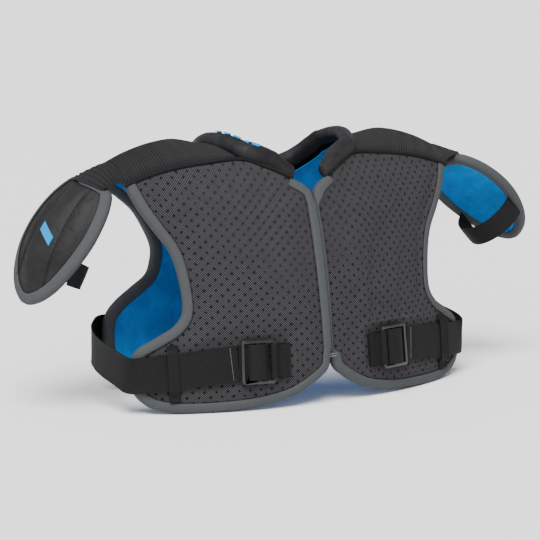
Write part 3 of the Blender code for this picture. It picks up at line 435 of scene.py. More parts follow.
# ---------------------------------------------------------------- finishes
class Field:
    """A value that varies over a surface; arithmetic on it adds Math nodes."""

    def __init__(self, finish, socket):
        self.finish, self.socket = finish, socket

    def math(self, operation, *values):
        inputs = dict(enumerate(values))
        return self.finish.node("ShaderNodeMath", {"operation": operation}, inputs)

    def __add__(self, other):
        return self.math("ADD", self, other)

    def __radd__(self, other):
        return self.math("ADD", other, self)

    def __sub__(self, other):
        return self.math("SUBTRACT", self, other)

    def __rsub__(self, other):
        return self.math("SUBTRACT", other, self)

    def __mul__(self, other):
        return self.math("MULTIPLY", self, other)

    def __rmul__(self, other):
        return self.math("MULTIPLY", other, self)

    def __truediv__(self, other):
        return self.math("DIVIDE", self, other)

    def __abs__(self):
        return self.math("ABSOLUTE", self)

    def wave(self):
        """Half of one plus the sine of a whole turn for each unit."""
        return self.math("SINE", self * math.tau) * 0.5 + 0.5

    def centred(self):
        """Distance to the nearest whole number, with its sign."""
        return self - self.math("ROUND", self)

    def step(self, low, high):
        """0 below the low value, 1 above the high one, smooth between."""
        settings = {"interpolation_type": "SMOOTHSTEP"}
        return self.finish.node("ShaderNodeMapRange", settings, {0: self, 1: low, 2: high, 3: 0.0, 4: 1.0})


class Finish:
    """A material: a Principled shader, with nodes for what varies over the surface."""

    def __init__(self, name, colour, roughness, **sockets):
        self.material = bpy.data.materials.new(name)
        self.material.use_nodes = True
        self.tree = self.material.node_tree
        self.shader = self.tree.nodes["Principled BSDF"]
        self.shader.inputs["Base Color"].default_value = (*colour, 1.0)
        self.shader.inputs["Roughness"].default_value = roughness
        self.shader.inputs["Specular IOR Level"].default_value = 0.15
        for key, value in sockets.items():
            self.shader.inputs[key.replace("_", " ").title().replace("Ior", "IOR")].default_value = value

    def node(self, kind, settings, inputs, output=0):
        """Adds a node with its settings and the values or links of its sockets."""
        made = self.tree.nodes.new(kind)
        for key, value in settings.items():
            setattr(made, key, value)
        for key, value in inputs.items():
            if isinstance(value, Field):
                self.tree.links.new(value.socket, made.inputs[key])
            else:
                made.inputs[key].default_value = value
        return Field(self, made.outputs[output])

    def cloth_place(self):
        """The piece's own cloth coordinates, in metres along and across."""
        uv = self.node("ShaderNodeUVMap", {"uv_map": "cloth"}, {})
        return tuple(self.node("ShaderNodeSeparateXYZ", {}, {0: uv}, k) for k in (0, 1))

    def noise(self, scale, detail=3.0, roughness=0.6):
        """Cloudy noise between 0 and 1 over the object's own coordinates."""
        place = self.node("ShaderNodeTexCoord", {}, {}, 3)
        inputs = {"Vector": place, "Scale": scale, "Detail": detail, "Roughness": roughness}
        return self.node("ShaderNodeTexNoise", {}, inputs)

    def mix(self, share, a, b):
        a, b = ((*c, 1.0) if isinstance(c, tuple) else c for c in (a, b))
        return self.node("ShaderNodeMix", {"data_type": "RGBA"}, {0: share, 6: a, 7: b}, 2)

    def colour(self, field):
        self.tree.links.new(field.socket, self.shader.inputs["Base Color"])

    def rough(self, field):
        self.tree.links.new(field.socket, self.shader.inputs["Roughness"])

    def bump(self, height, distance, strength=1.0):
        """Relief: the height times the distance, in metres."""
        inputs = {"Height": height, "Distance": distance, "Strength": strength}
        normal = self.node("ShaderNodeBump", {}, inputs)
        self.tree.links.new(normal.socket, self.shader.inputs["Normal"])


def knit_finish():
    """Perforated knit: a slanting weave of light and dark yarn with staggered small holes."""
    knit = Finish("perforated_knit", (0.06, 0.057, 0.061), 0.8)
    u, v = knit.cloth_place()
    yarn = 0.0026
    weave = ((u + v) / yarn).wave() * ((u - v) / yarn).wave()
    light = knit.mix(weave.step(0.05, 0.6), (0.006, 0.0056, 0.0063), (0.086, 0.081, 0.088))
    worn = knit.noise(90.0)
    toned = knit.mix(worn.step(0.35, 0.75) * 0.3, light, (0.022, 0.021, 0.023))
    wide, tall, half = 0.0118, 0.0112, 0.0018
    holes = None
    for offset in (0.0, 0.5):
        x, z = (u / wide + offset).centred(), (v / tall + offset).centred()
        hole = 1.0 - (abs(x) * wide + abs(z) * tall).step(half * 0.75, half * 1.2)
        holes = hole if holes is None else holes + hole
    knit.colour(knit.mix(holes, toned, (0.003, 0.003, 0.003)))
    knit.bump(weave * 0.5 - holes * 1.5, 0.0004)
    return knit


def tape_finish():
    """Grey woven binding: fine ribs across the tape and a faint mottle."""
    tape = Finish("grey_binding", (0.08, 0.084, 0.088), 0.75)
    u, v = tape.cloth_place()
    ribs = (u / 0.0009).wave() * 0.6 + (v / 0.0011).wave() * 0.4
    mottle = tape.noise(220.0)
    base = tape.mix(ribs, (0.041, 0.044, 0.046), (0.064, 0.068, 0.071))
    tape.colour(tape.mix(mottle.step(0.4, 0.8) * 0.3, base, (0.036, 0.038, 0.040)))
    tape.bump(ribs, 0.00012)
    return tape


def ribbed_finish():
    """Ribbed knit of the yokes and links: dark valleys between fine stitches."""
    ribbed = Finish("ribbed_knit", (0.03, 0.029, 0.031), 0.8)
    u, v = ribbed.cloth_place()
    stitch = (u / 0.0014).wave() * (v / 0.0016).wave()
    base = ribbed.mix(stitch.step(0.0, 0.7), (0.008, 0.0078, 0.0084), (0.042, 0.040, 0.043))
    cloud = ribbed.noise(60.0)
    ribbed.colour(ribbed.mix(cloud.step(0.4, 0.8) * 0.3, base, (0.014, 0.013, 0.015)))
    ribbed.bump(stitch, 0.0003)
    return ribbed


def satin_finish():
    """Smooth dark satin of the collar: fine threads and a soft sheen with uneven gloss."""
    satin = Finish("collar_satin", (0.012, 0.012, 0.013), 0.42)
    u, v = satin.cloth_place()
    thread = (v / 0.0007).wave()
    cloud = satin.noise(45.0, 4.0)
    base = satin.mix(cloud.step(0.35, 0.7), (0.008, 0.008, 0.009), (0.020, 0.019, 0.021))
    satin.colour(satin.mix(thread * 0.25, base, (0.005, 0.005, 0.006)))
    satin.rough(cloud * 0.16 + 0.36)
    satin.bump(cloud * 2.0 + thread * 0.15, 0.0006)
    return satin


def webbing_finish():
    """Black elastic webbing: close ribs across its width, lightly dusted by wear."""
    webbing = Finish("black_webbing", (0.012, 0.012, 0.012), 0.7)
    u, v = webbing.cloth_place()
    ribs = (u / 0.0015).wave()
    cords = (v / 0.0010).wave()
    weave = ribs * 0.7 + cords * 0.3
    dust = webbing.noise(150.0)
    base = webbing.mix(weave, (0.0025, 0.0025, 0.0025), (0.0105, 0.0105, 0.011))
    webbing.colour(webbing.mix(dust.step(0.5, 0.85) * 0.25, base, (0.016, 0.016, 0.017)))
    webbing.bump(weave, 0.00025)
    return webbing


def nylon_finish():
    """Matt coated nylon of the caps: a fine plain weave with faint slanting rubs."""
    nylon = Finish("cap_nylon", (0.024, 0.024, 0.025), 0.55)
    u, v = nylon.cloth_place()
    weave = (u / 0.0008).wave() * 0.5 + (v / 0.0008).wave() * 0.5
    cloud = nylon.noise(35.0, 4.0)
    base = nylon.mix(cloud.step(0.3, 0.75), (0.0115, 0.0115, 0.012), (0.021, 0.021, 0.0225))
    nylon.colour(nylon.mix(weave * 0.3, base, (0.006, 0.006, 0.0065)))
    nylon.rough(cloud * 0.15 + 0.48)
    nylon.bump(weave * 0.2 + cloud, 0.0004)
    return nylon


def lining_finish():
    """Blue brushed lining: short soft pile, lighter where it is rubbed one way."""
    lining = Finish("blue_lining", (0.0, 0.16, 0.46), 0.8)
    u, v = lining.cloth_place()
    knit = (u / 0.0016).wave() * (v / 0.0011).wave()
    cloud = lining.noise(40.0, 5.0, 0.7)
    base = lining.mix(cloud.step(0.3, 0.75), (0.0, 0.130, 0.400), (0.001, 0.215, 0.580))
    lining.colour(lining.mix(knit * 0.3, base, (0.0, 0.10, 0.32)))
    lining.bump(knit * 0.4 + lining.noise(900.0, 2.0), 0.00035)
    return lining


def plastic_finish():
    """Black moulded plastic of the sliders, with faint handling marks."""
    plastic = Finish("slider_plastic", (0.015, 0.015, 0.016), 0.3, specular_ior_level=0.6)
    marks = plastic.noise(300.0, 4.0)
    plastic.rough(marks * 0.2 + 0.22)
    plastic.colour(plastic.mix(marks.step(0.5, 0.9), (0.008, 0.008, 0.009), (0.018, 0.018, 0.019)))
    plastic.bump(marks, 0.00005)
    return plastic


def thread_finish(name, colour):
    """Twisted sewing thread: slanting light and dark plies."""
    thread = Finish(name, colour, 0.6)
    ply = thread.noise(2500.0, 1.0)
    dark = tuple(0.4 * c for c in colour)
    thread.colour(thread.mix(ply.step(0.35, 0.65), dark, colour))
    return thread


def print_finish():
    """Raised cyan print, slightly uneven where it sits in the weave."""
    ink = Finish("cyan_print", (0.0, 0.42, 0.86), 0.5)
    grain = ink.noise(700.0, 2.0)
    ink.colour(ink.mix(grain.step(0.3, 0.8), (0.0, 0.19, 0.48), (0.0, 0.25, 0.60)))
    ink.bump(grain, 0.00008)
    return ink


KNIT, BINDING, RIBBED, SATIN = knit_finish(), tape_finish(), ribbed_finish(), satin_finish()
WEBBING, NYLON, LINING = webbing_finish(), nylon_finish(), lining_finish()
PLASTIC, PRINT = plastic_finish(), print_finish()
DARK_THREAD = thread_finish("dark_thread", (0.012, 0.012, 0.013))
GREY_THREAD = thread_finish("grey_thread", (0.09, 0.092, 0.096))
PALE_THREAD = thread_finish("pale_thread", (0.30, 0.30, 0.29))
FOAM = Finish("foam_edge", (0.03, 0.03, 0.032), 0.9)


def on_fold(piece):
    """Fabric by the fold where the chest lifts off the back: its placement is baked into its mesh."""
    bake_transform(piece)


# ---------------------------------------------------------------- padded panels
def tape_ring(width, thickness):
    """Folded tape's outline: how far in from the edge, and how far off the face, going round."""
    low = -thickness
    face = ((1.0, 0.0009), (0.95, 0.0014), (0.7, 0.0017), (0.4, 0.0014), (0.2, 0.0006), (0.06, -0.0010))
    outer = list(face) + [(0.0, -0.0030)]
    under = [(share, low - lift) for share, lift in reversed(outer)]
    inside = ((1.0, low - 0.0002), (0.35, low - 0.0001), (0.16, low + 0.0022), (0.16, -0.0022),
              (0.35, 0.0001), (1.0, 0.0002))
    return outer + under + list(inside)


def binding(name, run, place, outward, thickness, width, under, closed=False):
    """Tape folded round an edge: its outline carried along the run, with widths that may vary."""
    outline = tape_ring(1.0, thickness)
    left = leftwards(run, closed)
    width = np.broadcast_to(np.asarray(width, float), len(run))
    under = np.broadcast_to(np.asarray(under, float), len(run))
    rings = []
    for share, lift in outline:
        reach = (width if lift > -0.5 * thickness else under) * share
        rings.append(raised(place, run + left * reach[:, None], lift, outward))
    piece = swept(name, np.stack(rings, axis=1), BINDING, closed)
    inset = run + left * (width + 0.0008)[:, None]
    path = raised(place, inset, 0.0004, outward)
    normal = normals_of(place, inset[:, 0], inset[:, 1], outward)
    sewn = stitches(name + "_stitches", path, normal, DARK_THREAD, 0.0030, 0.0020, 0.00034)
    return piece, sewn


def crown(gap, rise, width=0.026):
    """Pad's lift: held down under the tape, then rising smoothly to its full height."""
    tucked = -0.0030 * (1 - smooth(gap / 0.006))
    return tucked + rise * smooth((gap - 0.009) / width)


def padded_layers(name, place, outward, flat, gap, thickness, rise, finish, press, force=6.0):
    """Outer cover and lining of a pad as two thin shells, crowned away from the edge and held
    down where a strap presses them."""
    uneven = ripples(flat, len(name) * 7, 0.09)
    lift = crown(gap, rise) + 0.0004 * uneven * smooth((gap - 0.012) / 0.03)
    top = raised(place, flat, lift * (1 - 0.75 * press), outward)
    pinned = gap < 0.0125
    top = swell(top, pinned | (press > 0.15), force, 0.0022, 0.012)
    normal = normals_of(place, flat[..., 0], flat[..., 1], outward)
    cover = shell(name + "_cover", top, top - normal * 0.0010, flat, finish)
    inner_lift = -thickness - crown(gap, 0.5 * rise) + 0.0004 * ripples(flat, len(name) * 5, 0.07)
    low = raised(place, flat, inner_lift, outward)
    lining = shell(name + "_lining", low, low + normal * 0.0010, flat, LINING)
    return cover, lining


def chest_half(name, side):
    """Chest half: knit cover and blue lining over its pad, bound with tape."""
    place = chest_surface(side)
    top = NECK + YOKE_LINE[1:]
    flat = patch(HEM, ARMHOLE, top, SEAM, 120, 130)
    line = np.vstack([curve(edge, 260) for edge in (SEAM, HEM, ARMHOLE, NECK[:3])])
    gap = edge_distance(flat, line)
    shoulder = edge_distance(flat, curve(top[2:], 200))
    gap = np.minimum(gap, shoulder + 0.006)
    across, height = flat[..., 0], flat[..., 1]
    share = (across - 0.1066) / (0.2020 - 0.1066)
    off_strap = np.abs(height - SLIDER_HEIGHT - (WING_STRAP_HEIGHT - SLIDER_HEIGHT) * np.clip(share, 0, 1))
    press = smooth((0.031 - off_strap) / 0.010) * smooth((across - 0.040) / 0.012)
    by_keeper = smooth((0.016 - np.abs(across - KEEPER_X)) / 0.008) * smooth((0.042 - off_strap) / 0.008)
    cover, lining = padded_layers(name + "_chest_pad", place, FRONT, flat, gap, PANEL, 0.0030, KNIT,
                                  np.maximum(press, by_keeper))
    for piece in (cover, lining):
        on_fold(piece)
    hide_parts(name + "_chest_cover", name + "_chest_foam")
    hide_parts(name + "_chest_lining")
    edge = [(0.023, 0.2425)] + NECK[1::-1] + SEAM[-2:0:-1] + HEM + ARMHOLE[1:]
    run = curve(edge, 420)
    along = lengths(run)
    on_seam = smooth((0.030 - run[:, 0]) / 0.012) * smooth((0.222 - run[:, 1]) / 0.012)
    on_seam = on_seam * smooth((run[:, 1] - 0.052) / 0.008)
    broad = 0.0125 if side < 0 else 0.0012
    width = 0.0105 + (broad - 0.0105) * on_seam + 0.0006 * np.sin(along / 0.05)
    if side < 0:
        run[:, 0] -= 0.0030 * on_seam    # the right half's tape laps over the left half's edge
    tape, sewn = binding(name + "_chest_tape", run, place, FRONT, PANEL, width, TAPE)
    for piece in (tape, sewn):
        on_fold(piece)
    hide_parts(name + "_chest_binding")


def back_panel():
    """Back: one wide pad with a knit cover and a blue lining, bound round arms and hem."""
    bottom = mirrored(BACK_HEM)[:-1] + BACK_HEM
    neck = mirrored(BACK_NECK)[:-1] + BACK_NECK
    top = mirrored(BACK_YOKE_LINE) + neck[1:-1] + BACK_YOKE_LINE
    left_side = [(-x, z) for x, z in BACK_SIDE]
    flat = patch(bottom, BACK_SIDE, top, left_side, 200, 120, 0.005)
    line = np.vstack([curve(edge, 260) for edge in (bottom, BACK_SIDE, left_side)])
    gap = np.minimum(edge_distance(flat, line), edge_distance(flat, curve(top, 300)) + 0.006)
    press = smooth((0.031 - np.abs(flat[..., 1] - BACK_STRAP_HEIGHT)) / 0.010)
    press = press * smooth((np.abs(flat[..., 0]) - 0.122) / 0.012)
    cover, lining = padded_layers("back_pad", back_surface, REAR, flat, gap, PANEL, 0.0030, KNIT,
                                  press)
    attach(cover, "back")
    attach(lining, "back")
    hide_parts("back_cover", "back_foam")
    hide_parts("back_lining")
    edge = list(reversed(left_side)) + bottom[1:-1] + BACK_SIDE
    tape, sewn = binding("back_tape", curve(edge, 620), back_surface, REAR, PANEL, 0.0105, TAPE)
    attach(tape, "back")
    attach(sewn, "back")
    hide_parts("back_binding")


# ---------------------------------------------------------------- shoulders
def ribbed_sheet(name, place, a, b, lift, thickness, finish):
    """Sheet over a surface in shares, with a lift that makes its ribs; its edges are tucked in."""
    grid = np.stack(np.meshgrid(a, b, indexing="ij"), axis=-1)
    normal = normals_of(place, grid[..., 0], grid[..., 1], UP + 0 * grid[..., :1], 0.01)
    base = place(grid[..., 0], grid[..., 1])
    edge = np.minimum(grid[..., 1] - b[0], b[-1] - grid[..., 1]) / (b[-1] - b[0])
    tuck = -0.0016 * (1 - smooth(edge / 0.06))
    outer = base + normal * (lift(grid[..., 0], grid[..., 1]) + tuck)[..., None]
    inner = base - normal * thickness
    along = lengths(base[:, base.shape[1] // 2])
    across = lengths(base[base.shape[0] // 2])
    uv = np.stack(np.broadcast_arrays(along[:, None], across[None]), axis=-1)
    return shell(name, outer, inner, uv, finish)


def yoke(name, side):
    """Ribbed band over a shoulder, the lining under it, and a black round cord along each of its two edges,
    darkening the line where band and panels meet.
    """
    place = yoke_surface(side)

    def ribs(a, b):
        strong = 0.00018 + 0.00042 * smooth((a - 0.20) / 0.45)
        rib = np.sin(math.tau * a * 0.138 / 0.0031 + 0.6 * np.sin(math.tau * b))
        puff = 0.0015 * (4 * b * (1 - b)) ** 0.5
        return strong * rib + puff
    band = ribbed_sheet(name + "_yoke_ribs", place, np.linspace(0.004, 1.0, 330),
                        np.linspace(0.030, 0.970, 44), ribs, 0.0022, RIBBED)
    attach(band, "back")
    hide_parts(name + "_yoke_band", name + "_yoke_foam")

    def under(a, b):
        return -0.0104 + 0.0010 * np.sin(math.tau * 3 * a) * 4 * b * (1 - b)
    lining = ribbed_sheet(name + "_yoke_underside", place, np.linspace(0.014, 0.992, 60),
                          np.linspace(0.05, 0.95, 30), under, 0.0118, LINING)
    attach(lining, "back")
    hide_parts(name + "_yoke_lining")
    front = curve(NECK[2:] + YOKE_LINE[1:], 200)
    rear = curve(BACK_YOKE_LINE, 120)
    rear[:, 0] *= side
    centres = {
        "front": raised(chest_surface(side), front, 0.0010, FRONT) - UP * 0.0006,
        "rear": raised(back_surface, rear, 0.0010, REAR) - UP * 0.0006,
    }
    # black round cords along the band's front and rear edges, making the dark line where the band meets the panels
    for part, centre in centres.items():
        piece = round_cord(f"{name}_{part}_dark_edge_cord", centre, 0.0023, WEBBING)
        on_fold(piece)


def round_cord(name, centre, radius, finish, sides=10):
    """Round tube about a line of points."""
    way = unit(np.gradient(centre, axis=0))
    side = unit(np.cross(way, UP + 0 * way))
    up = np.cross(side, way)
    turn = np.arange(sides) * math.tau / sides
    ring = side[:, None] * np.cos(turn)[None, :, None] + up[:, None] * np.sin(turn)[None, :, None]
    return swept(name, centre[:, None] + ring * radius, finish)


def link(name, side):
    """Stretch link: thick ribs across it, from the yoke's tip to the cap's neck."""
    over, shell_of_cap = yoke_surface(side), cap_surface(side)
    _, _, _, out = cap_frame(side)

    def place(a, b):
        start = over(np.ones_like(a), b)
        across = 0.5 * 0.049 * (1 - 2 * b)
        lift = 0.0046 - 0.0006 * (1 - 2 * b) ** 4
        end = raised(shell_of_cap, np.stack([np.full_like(b, 0.009), across], axis=-1), lift, out)
        a = a[..., None]
        return start * (1 - a) + end * a + UP * 0.0035 * 4 * a * (1 - a)

    def ribs(a, b):
        rib = 0.0010 * np.cos(math.tau * (a * 6.5 + 0.25)) * smooth((1.04 - a) / 0.1)
        return 0.0002 + rib - 0.0014 * smooth((a - 0.93) / 0.07)
    piece = ribbed_sheet(name + "_shoulder_link", place, np.linspace(-0.03, 1.0, 110),
                         np.linspace(0.03, 0.97, 44), ribs, 0.0022, RIBBED)
    inner = (place(np.array(0.0), np.array(0.5)) + SHIFT).tolist()
    outer = (place(np.array(1.0), np.array(0.5)) + SHIFT).tolist()
    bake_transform(piece)
    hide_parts(name + "_link_inner", name + "_link_outer")


# ---------------------------------------------------------------- collar
def collar_line(side):
    """Neck edge of one side with its normals: chest, then yoke, then back to the middle."""
    chest, over = chest_surface(side), yoke_surface(side)
    front = curve(list(reversed([(0.0195, 0.2408)] + NECK[2:])), 9)[::-1]
    places = [chest(front[:, 0], front[:, 1])]
    normals = [normals_of(chest, front[:, 0], front[:, 1], FRONT)]
    b = np.linspace(0.12, 0.88, 6)
    edge = np.zeros_like(b)
    along = over(edge + 0.02, b) - over(edge, b)
    up = over(edge, b + 0.02) - over(edge, b - 0.02)
    normal = unit(np.cross(along, up))
    normal = normal * np.where(normal[:, 2:] < 0, -1.0, 1.0)
    places.append(over(edge, b))
    normals.append(normal)
    rear = curve(list(reversed(BACK_NECK)), 9)
    places.append(back_surface(side * rear[:, 0], rear[:, 1]))
    normals.append(normals_of(back_surface, side * rear[:, 0], rear[:, 1], REAR))
    return np.vstack(places), np.vstack(normals), len(front) - 1


def collar():
    """Padded roll round the neck: a drop-shaped outline carried along the neck's edge."""
    left_places, left_normals, split = collar_line(1)
    right_places, right_normals, _ = collar_line(-1)
    places = np.vstack([left_places, right_places[-2::-1]])
    normals = np.vstack([left_normals, right_normals[-2::-1]])
    shoulder = lengths(left_places)[split]
    half = lengths(left_places)[-1]
    count = 260
    line = lengths(places)
    at = np.linspace(0, line[-1], count)
    path = respaced(curve(places, 900), count)
    normal = np.stack([np.interp(at, line, normals[:, k]) for k in range(3)], axis=1)
    for _ in range(30):
        normal[1:-1] = unit(normal[:-2] + 2 * normal[1:-1] + normal[2:])
    way = unit(np.gradient(path, axis=0))
    into = unit(np.cross(way, normal))
    toward = np.array((0.0, -0.005, SHOULDER_HEIGHT)) - path
    into = into * np.where((into * toward).sum(axis=1, keepdims=True) < 0, -1.0, 1.0)
    reach = np.minimum(at, line[-1] - at)
    front = smooth(reach / shoulder)
    rear = smooth((half - reach) / (half - shoulder))
    tilt = np.radians(np.where(reach < shoulder, 8 + 26 * front, 12 + 22 * rear))[:, None]
    size = 0.70 + 0.30 * smooth(1.9 * reach / shoulder)
    size = (size * np.sqrt(np.clip(1 - (1 - reach / 0.005).clip(0) ** 2, 0.02, 1)))[:, None]
    rise = into * np.cos(tilt) + normal * np.sin(tilt)
    thick = normal * np.cos(tilt) - into * np.sin(tilt)
    sunk = 0.0006 - 0.0024 * (1 - smooth(reach / shoulder))[:, None]
    middle = path + rise * (0.5 * COLLAR_HEIGHT * size + sunk) - thick * 0.002
    sides = 40
    turn = np.arange(sides) * math.tau / sides
    tall = np.cos(turn) - 0.16 * np.sin(turn) ** 2
    wide = np.sin(turn) * (1.0 + 0.18 * np.cos(turn))
    spot = np.stack(np.broadcast_arrays(at[:, None], 0.009 * turn[None]), axis=-1)
    fold = ripples(spot * (1.0, 0.45), 11, 0.020) * 0.6 + ripples(spot, 12, 0.011) * 0.4
    puff = 1.05 + 0.035 * fold
    high = (0.5 * COLLAR_HEIGHT * size * tall[None] * puff)[..., None] * rise[:, None]
    broad = (0.5 * COLLAR_THICKNESS * size * wide[None] * puff)[..., None] * thick[:, None]
    rings = middle[:, None] + high + broad
    piece = swept("neck_roll", rings, SATIN)
    on_fold(piece)
    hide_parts("back_collar", "right_collar_front", "left_collar_front")
    return path, rise, thick, reach, middle


def dashes(middle, rise, thick, reach):
    """Plain row of slanting cyan dashes on the roll's outer face, near the wearer's right ear."""
    count = len(middle)
    places = np.arange(count)
    start = int(0.785 * count)
    for number in range(5):
        picks = start + number * 7 + np.arange(5)
        picks = picks[picks < count]
        centre = middle[picks]
        top = centre + rise[picks] * 0.0098 + thick[picks] * 0.0030
        low = centre + rise[picks] * 0.0072 + thick[picks] * 0.0068
        out = unit(rise[picks] + thick[picks] * 0.8)
        grid = np.stack([top, 0.5 * (top + low) + out * 0.0008, low], axis=1)
        uv = np.zeros(grid.shape[:2] + (2,))
        dash = shell(f"collar_dash_{number}", grid + out[:, None] * 0.0010, grid, uv, PRINT)
        on_fold(dash)
    return places


# ---------------------------------------------------------------- straps and sliders
def strap_stations(side):
    """Places along a side strap's middle from the slider to the back, with the way up it."""
    chest, lift = chest_surface(side), STRAP_LIFT + 0.5 * STRAP_THICKNESS
    out = np.array((0.0, -1.0, 0.0))
    xs = np.linspace(0.1066, 0.2020, 6)
    share = (xs - xs[0]) / (xs[-1] - xs[0])
    zs = SLIDER_HEIGHT + (WING_STRAP_HEIGHT - SLIDER_HEIGHT) * share
    high = lift + 0.0010 + 0.0006 * smooth((xs - 0.185) / 0.02)
    points = [raised(chest, np.stack([xs, zs], axis=1), high, out)]
    ways = [unit(chest(xs, zs + 0.01) - chest(xs, zs - 0.01))]
    corner = np.array([[WING_REACH, WING_STRAP_HEIGHT]])
    wing = chest(corner[:, 0], corner[:, 1])[0]
    points.append(raised(chest, corner, lift + 0.0016, out))
    rear_y = back_surface(np.array(BACK_WING_REACH), np.array(BACK_STRAP_HEIGHT))[1]
    reach = WING_REACH + 0.0080
    across = (
        (WING_REACH + 0.0064, wing[1] + 0.0070), (reach, wing[1] + 0.0260), (reach, -0.010),
        (reach - 0.0020, 0.0100), (reach - 0.0080, 0.0300), (BACK_WING_REACH + 0.0120, rear_y - 0.0070),
    )
    for i, (x, y) in enumerate(across):
        part = (i + 1) / (len(across) + 1)
        z = WING_STRAP_HEIGHT + (BACK_STRAP_HEIGHT - WING_STRAP_HEIGHT) * part
        points.append(np.array([[side * x, y, z]]))
    rear_x = np.linspace(BACK_WING_REACH - 0.001, BACK_WING_REACH - 0.047, 4)
    rear = np.stack([side * rear_x, np.full(4, BACK_STRAP_HEIGHT)], axis=1)
    points.append(raised(back_surface, rear, lift + 0.0014, np.array((0.0, 1.0, 0.0))))
    points = np.vstack(points)
    ways = np.vstack(ways + [np.tile(UP, (len(points) - 6, 1))])
    return points, ways


def flat_band(name, points, ways, width, thickness, finish, count=200, wave=0.0, seed=3):
    """Flat webbing: a rounded oblong outline carried along a path, with slightly uneven edges."""
    path = curve(points, count)
    line, at = lengths(points), np.linspace(0, lengths(points)[-1], count)
    up = unit(np.stack([np.interp(at, line, ways[:, k]) for k in range(3)], axis=1))
    way = unit(np.gradient(path, axis=0))
    out = unit(np.cross(way, up))
    up = unit(np.cross(out, way))
    shares = np.linspace(-1, 1, 15)
    face = np.stack([shares, np.full(15, 1.0)], axis=1)
    ends = np.array([(1.0, 0.5), (1.006, 0.0), (1.0, -0.5)])
    outline = np.vstack([face, ends, face[::-1] * (1, -1), ends[::-1] * (-1, 1)])
    flat = np.stack(np.broadcast_arrays(at[:, None], 0.5 * width * outline[None, :, 0]), axis=-1)
    bow = wave * ripples(flat, seed, 0.05)
    edge_roll = -0.0004 * np.abs(outline[None, :, 0]) ** 6
    half = 0.5 * thickness
    rings = path[:, None] + up[:, None] * (0.5 * width * outline[:, 0])[None, :, None]
    rings = rings + out[:, None] * (half * outline[None, :, 1] + edge_roll + bow)[..., None]
    uv = flat
    return swept(name, rings, finish, sharp=60, uv=uv), path, out, up


def side_strap(name, side):
    """Elastic strap round the side, with the bar of stitches that holds its folded end."""
    points, ways = strap_stations(side)
    band, path, out, up = flat_band(name + "_side_strap", points, ways, STRAP_WIDTH, STRAP_THICKNESS,
                                    WEBBING, 260, 0.00025)
    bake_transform(band)
    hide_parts(name + "_strap_front", name + "_strap_rear")
    facing = 1.0 if out[20, 1] < 0 else -1.0
    for row, station in enumerate((6, 11)):
        shares = np.linspace(-0.46, 0.46, 24)
        line = path[station] + up[station] * (shares * STRAP_WIDTH)[:, None]
        line = line + out[station] * facing * (0.5 * STRAP_THICKNESS + 0.0001)
        normal = np.tile(out[station] * facing, (24, 1))
        tack = stitches(f"{name}_strap_tack_{row}", line, normal, (PALE_THREAD, DARK_THREAD)[row],
                        0.0024, 0.0018, 0.00024)
        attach(tack, "chest")


def keeper(name, side):
    """Narrow webbing loop sewn to the wing above and below the strap."""
    place, out = chest_surface(side), np.array((0.0, -1.0, 0.0))
    share = (KEEPER_X - 0.1066) / (0.2020 - 0.1066)
    middle = SLIDER_HEIGHT + (WING_STRAP_HEIGHT - SLIDER_HEIGHT) * share
    half, over = 0.5 * STRAP_WIDTH, STRAP_LIFT + STRAP_THICKNESS + 0.0022
    profile = np.array([
        (-half - 0.0130, 0.0022), (-half - 0.0065, 0.0024), (-half - 0.0018, over - 0.0004), (-half * 0.5, over),
        (half * 0.5, over), (half + 0.0014, over - 0.0004), (half + 0.0046, 0.0024), (half + 0.0086, 0.0022),
    ])
    line = curve(profile, 90)
    flat = np.stack([np.full(90, KEEPER_X), middle + line[:, 0]], axis=1)
    points = raised(place, flat, line[:, 1] + 0.0006, out)
    ways = np.tile(np.array((float(side), 0.25, 0.0)), (90, 1))
    band, path, normal, up = flat_band(name + "_keeper", points, unit(ways), KEEPER_WIDTH, 0.0011, WEBBING, 110)
    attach(band, "chest")
    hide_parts(name + "_strap_keeper")


def slider_plane(side):
    """Maps a place along the strap, off the chest and up to a point near the slider."""
    chest = chest_surface(side)
    middle_x = 0.5 * (SLIDER_INNER_X + SLIDER_OUTER_X)
    near = chest(np.array([middle_x - 0.01, middle_x, middle_x + 0.01]), np.full(3, SLIDER_HEIGHT))
    across = unit(near[2] - near[0])
    out = normals_of(chest, np.array(middle_x), np.array(SLIDER_HEIGHT), np.array((0.0, -1.0, 0.0)))
    upright = np.cross(across, out)
    upright = upright * (1.0 if upright[2] > 0 else -1.0)

    def place(u, n, v):
        u, n, v = (np.asarray(x, float)[..., None] for x in (u, n, v))
        return near[1] + across * u + out * n + upright * v
    return place, out, upright


def extruded(name, place, outline, half, finish, sharp=60, barrel=0.0):
    """Flat closed outline in the plane across the strap, carried up it between two heights."""
    heights = np.r_[-half, np.linspace(-half + 0.0004, half - 0.0004, 25), half]
    squeeze = np.where(np.abs(heights) > half - 0.0002, 0.96, 1.0)
    middle = outline.mean(axis=0)
    bulge = barrel * (1 - (heights / half) ** 2)
    u = middle[0] + (outline[None, :, 0] - middle[0]) * squeeze[:, None]
    n = middle[1] + (outline[None, :, 1] - middle[1]) * (squeeze + bulge)[:, None]
    v = np.broadcast_to(heights[:, None], u.shape)
    return swept(name, place(u, n, v), finish, sharp=sharp)


